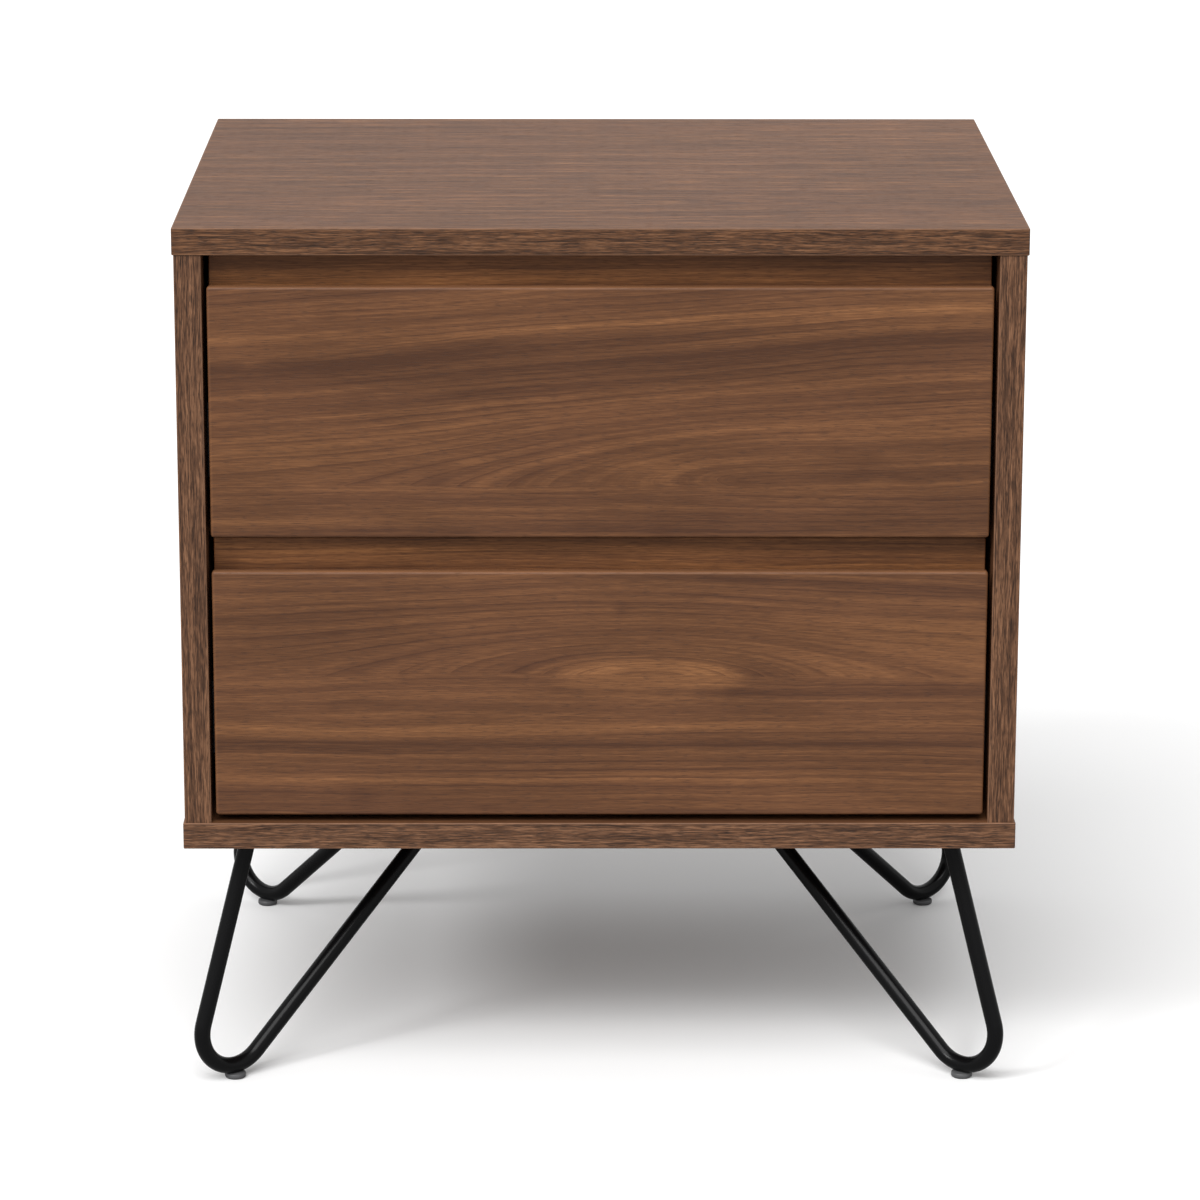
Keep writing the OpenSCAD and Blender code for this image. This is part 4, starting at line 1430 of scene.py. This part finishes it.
@dataclass
class HairpinLeg:
    """One leg: a bent rod, its plate with weld beads and screws, and a glide under the bend."""

    shop: Workshop
    end: str
    side: str
    rod: float = 0.005
    bend: float = 0.024
    outer_lean: float = math.radians(17.6)
    inner_lean: float = math.radians(48.7)
    inlet: float = 0.0012
    weld: float = 0.0021
    ripple: float = 0.13
    ripples: int = 11
    weld_inlet: float = 0.0004
    bend_points: int = 40
    straight_points: int = 12
    weld_sides: int = 66
    glide_sides: int = 40
    glide_edge: tuple[tuple[float, float], ...] = (
        (0.0014, 0),
        (0.0006, 0.0003),
        (0.0001, 0.0009),
        (0, 0.0014),
        (0, 0.0026),
        (0.0003, 0.0032),
        (0.0012, 0.0036),
    )

    @property
    def name(self) -> str:
        """The stem of this leg's CAD names."""
        return f"{self.end}_{self.side}_leg"

    @property
    def plane(self) -> Matrix:
        """Turns the leg's own frame, X towards the cabinet's middle, into the scene's."""
        glide_low, glide_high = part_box(f"{self.name}_glide")
        foot = (glide_low + glide_high) / 2
        low, high = CAD_BOX
        toward = math.atan2(-math.copysign(high.y - low.y, foot.y), -math.copysign(high.x - low.x, foot.x))
        return Matrix.Translation((foot.x, foot.y, 0)) @ Matrix.Rotation(toward, 4, "Z")

    def centre_line(self) -> np.ndarray:
        """The rod's centre line in the leg's own frame: down a straight, round the bend and up another.

        The bend is c + b (cos f, sin f), with f from 180 degrees less the outer lean, round the bottom, to
        minus the inner lean. The straights leave it along their leans up to the plate.

        Returns:
            N x 3 points.
        """
        rod_low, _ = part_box(f"{self.name}_rod")
        plate_low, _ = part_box(f"{self.name}_plate")
        c = rod_low.z + self.rod + self.bend
        f = np.linspace(math.pi - self.outer_lean, 2 * math.pi - self.inner_lean, self.bend_points)
        bend = np.stack([self.bend * np.cos(f), 0 * f, c + self.bend * np.sin(f)], -1)
        top = plate_low.z + self.inlet
        t = np.linspace(0, 1, self.straight_points)[:, None]
        ends = []
        for start, lean in ((bend[0], self.outer_lean), (bend[-1], self.inner_lean)):
            rise = top - start[2]
            finish = start + np.array([rise * math.tan(lean), 0, rise])
            ends.append(start + (finish - start) * t)
        return np.concatenate([ends[0][::-1], bend[1:-1], ends[1]])

    def bead(self, at: float, lean: float, height: float) -> Skin:
        """Weld bead round a rod where it meets the plate.

        Point = rod's oval footprint plus w (cos p, -sin p) outward and down, with p from 0 to 90 degrees.
        The width w is waved round the rod for the ripples of the weld.

        Args:
            at: Where the rod's centre line meets the plate.
            lean: The rod's lean.
            height: Height of the plate's lower face.

        Returns:
            The bead.
        """
        a = np.linspace(0, 2 * math.pi, self.weld_sides, endpoint=False)[None]
        p = np.linspace(0, math.pi / 2, 6)[:, None]
        w = self.weld * (1 + self.ripple * np.sin(self.ripples * a))
        grow = self.rod - self.weld_inlet + w * np.cos(p)
        down = w * np.sin(p)
        x = at - down * math.tan(lean) + grow * np.cos(a) / math.cos(lean)
        points = np.stack([x, grow * np.sin(a), height - down + 0 * x], -1)
        normal = np.stack([np.cos(p) * np.cos(a), np.cos(p) * np.sin(a), -np.sin(p) + 0 * a], -1)
        skin = Skin().grid(points, normal, wrap=(False, True))
        return skin.cap(points[0], (0, 0, 1)).cap(points[-1], (0, 0, -1))

    def build(self) -> None:
        """Builds the leg."""
        plane, line = self.plane, self.centre_line()
        rod = tube(line, np.array([0.0, 1.0, 0.0]), self.rod)
        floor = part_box(f"{self.name}_plate")[0].z
        for index, lean in ((0, self.outer_lean), (-1, self.inner_lean)):
            at = line[index][0] - (line[index][2] - floor) * math.tan(lean)
            rod.join(self.bead(at, lean, floor))
        name, bent, coat = f"{self.name}_rod", rod.moved(plane), self.shop.coat
        self.shop.put(bent, f"{name}_bent", "carcass", [name], "black_powder_coat", coat)
        self.shop.dress(f"{self.name}_plate", self.shop.coat)
        self.glide(plane)

    def glide(self, plane: Matrix) -> None:
        """Round glide with eased edges under the bend.

        Its profile runs up glide_edge, whose pairs give the distance in from the rim and the height.

        Args:
            plane: The leg's placing.
        """
        low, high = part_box(f"{self.name}_glide")
        r = (high.x - low.x) / 2
        rim = [(r - inset, height) for inset, height in self.glide_edge]
        profile = [(0, 0), *rim, (0, self.glide_edge[-1][1])]
        skin = turned(profile, self.glide_sides).moved(plane)
        node = f"{self.name}_glide"
        self.shop.put(skin, f"{node}_pad", "carcass", [node], "glide_plastic", self.shop.glide)


@dataclass
class Studio:
    """Pale floor, white surroundings, two suns and the camera."""

    floor_size: float = 60.0
    bounce: float = 0.38
    surround: float = 0.58
    cloud: Layer = Layer((900, 900, 1), window=(0.3, 0.7))
    cloud_seed: float = 3.0
    paper: tuple[Colour, Colour] = ((0.99, 0.99, 0.99), (1.01, 1.01, 1.01))
    matt: float = 0.9
    key_from: tuple[float, float, float] = (-1.14, -0.98, 1.0)
    soft_from: tuple[float, float, float] = (-0.18, -0.88, 1.0)
    camera_at: tuple[float, float, float] = (-0.0219, -2.983, 1.047)
    yaw: float = math.radians(0.45)
    pitch: float = math.radians(14.80)
    roll: float = math.radians(0.11)
    lens: float = 145.61

    def floor(self) -> None:
        """Lays a matt floor: white to the camera, darker in the light it throws back."""
        g = Graph("studio_floor")
        x, y, _ = g.place()
        seen = g.mix(self.cloud.draw(g, x, y, self.cloud_seed), *self.paper)
        direct = Term(g, g.node("ShaderNodeLightPath").outputs["Is Camera Ray"])
        colour = g.mix(direct, (self.bounce, self.bounce, self.bounce), seen)
        finish = g.finish(colour, self.matt, None, 0.0, {"Specular IOR Level": 0.0})
        self._open_below(g)
        s = self.floor_size / 2
        corners = np.array([(-s, -s, 0), (s, -s, 0), (s, s, 0), (-s, s, 0)], float)
        made = Skin().cap(corners, (0, 0, 1)).build("studio_floor", finish)

    @staticmethod
    def _open_below(g: Graph) -> None:
        """Lets a view from underneath see through the floor's lower face."""
        shader = next(n for n in g.tree.nodes if n.type == "BSDF_PRINCIPLED")
        output = next(n for n in g.tree.nodes if n.type == "OUTPUT_MATERIAL")
        clear = g.node("ShaderNodeBsdfTransparent")
        behind = g.node("ShaderNodeNewGeometry").outputs["Backfacing"]
        chosen = g.node("ShaderNodeMixShader", None, {0: behind, 1: shader.outputs[0], 2: clear.outputs[0]})
        g.tree.links.new(chosen.outputs[0], output.inputs["Surface"])

    def world(self) -> None:
        """Surrounds the scene with even white light, weaker than the white behind the cabinet."""
        world = bpy.data.worlds.new("studio")
        world.use_nodes = True
        tree = world.node_tree
        background = tree.nodes["Background"]
        background.inputs["Color"].default_value = (1.0, 1.0, 1.0, 1.0)
        path = tree.nodes.new("ShaderNodeLightPath")
        strength = tree.nodes.new("ShaderNodeMapRange")
        strength.inputs["To Min"].default_value = self.surround
        strength.inputs["To Max"].default_value = 1.0
        tree.links.new(path.outputs["Is Camera Ray"], strength.inputs["Value"])
        tree.links.new(strength.outputs["Result"], background.inputs["Strength"])
        bpy.context.scene.world = world

    def sun(self, name: str, toward: Sequence[float], width: float, strength: float) -> None:
        """Adds a distant, even, round source.

        Args:
            name: Name of the lamp.
            toward: Direction from the cabinet to the light.
            width: Its apparent width in degrees.
            strength: Its irradiance.
        """
        data = bpy.data.lights.new(name, "SUN")
        data.angle = math.radians(width)
        data.energy = strength
        made = bpy.data.objects.new(name, data)
        bpy.context.scene.collection.objects.link(made)
        made.rotation_euler = (-Vector(toward)).to_track_quat("-Z", "Y").to_euler()

    def camera(self) -> None:
        """Sets the camera: looking along +Y, turned by yaw, tipped down by pitch, tilted by roll."""
        data = bpy.data.cameras.new("camera")
        data.sensor_width = 36.0
        data.lens = self.lens
        data.clip_start, data.clip_end = 0.05, 100.0
        made = bpy.data.objects.new("camera", data)
        bpy.context.scene.collection.objects.link(made)
        sy, cy = math.sin(self.yaw), math.cos(self.yaw)
        sp, cp = math.sin(self.pitch), math.cos(self.pitch)
        sr, cr = math.sin(self.roll), math.cos(self.roll)
        ahead = Vector((sy * cp, cy * cp, -sp))
        up = Vector((sy * sp, cy * sp, cp))
        right = Vector((cy, -sy, 0.0))
        level, plumb = cr * right + sr * up, cr * up - sr * right
        axes = Matrix((level, plumb, -ahead)).transposed()
        made.matrix_world = Matrix.Translation(self.camera_at) @ axes.to_4x4()
        bpy.context.scene.camera = made

    def build(self) -> None:
        """Sets the whole studio."""
        self.floor()
        self.world()
        self.sun("key", self.key_from, 13.0, 0.98)
        self.sun("soft_key", self.soft_from, 45.0, 2.18)
        self.camera()
        view = bpy.context.scene.view_settings
        view.view_transform = "Standard"


def main() -> None:
    """Builds the studio, the cabinet, its legs and its drawers in order."""
    logging.basicConfig(level=logging.INFO, format="%(name)s: %(message)s")
    Studio().build()
    shop = Workshop()
    Cabinet(shop).build()
    for end in ("front", "rear"):
        for side in ("left", "right"):
            HairpinLeg(shop, end, side).build()
    shop.dress("leg_screws", shop.black_screw)
    shop.dress("cabinet_runner_screws", shop.zinc)
    upper = Figure(
        face=-198,
        core_along=-60,
        core_across=376,
        rise=38,
        reach=150,
        tilt=0.050,
        hooked=True,
        joint=378,
        seed=1.0,
        bands=(Band(478, 5.0, 0.20), Band(456, 15.0, -0.22), Band(356, 8.0, -0.18)),
        knots=(
            Knot(154, 392, 24.0, 9.0, -0.16),
            Knot(165, 384, 10.0, 2.5, 0.20),
            Knot(-205, 454, 7.0, 2.2, 0.22),
            Knot(27, 394, 26.0, 5.0, 0.18),
            Knot(-75, 396, 10.0, 2.4, 0.22),
        ),
    )
    lower = Figure(
        face=-198,
        core_along=29,
        core_across=259,
        rise=36,
        reach=135,
        joint=263,
        seed=2.0,
        bands=(Band(223, 4.0, -0.16), Band(217, 4.0, 0.18)),
        knots=(
            Knot(-142, 190, 9.0, 7.0, -0.22),
            Knot(15, 306, 5.0, 3.5, -0.20),
            Knot(31, 264, 58.0, 15.0, 0.20),
            Knot(66, 268, 20.0, 9.0, 0.16),
        ),
    )
    strip = Figure(core_across=900, rise=10, seed=9.0)
    for level, figure in (("upper", upper), ("lower", lower)):
        Drawer(shop, level, figure, strip).build()
        Runners(shop, level).build()


if __name__ == "__main__":
    main()
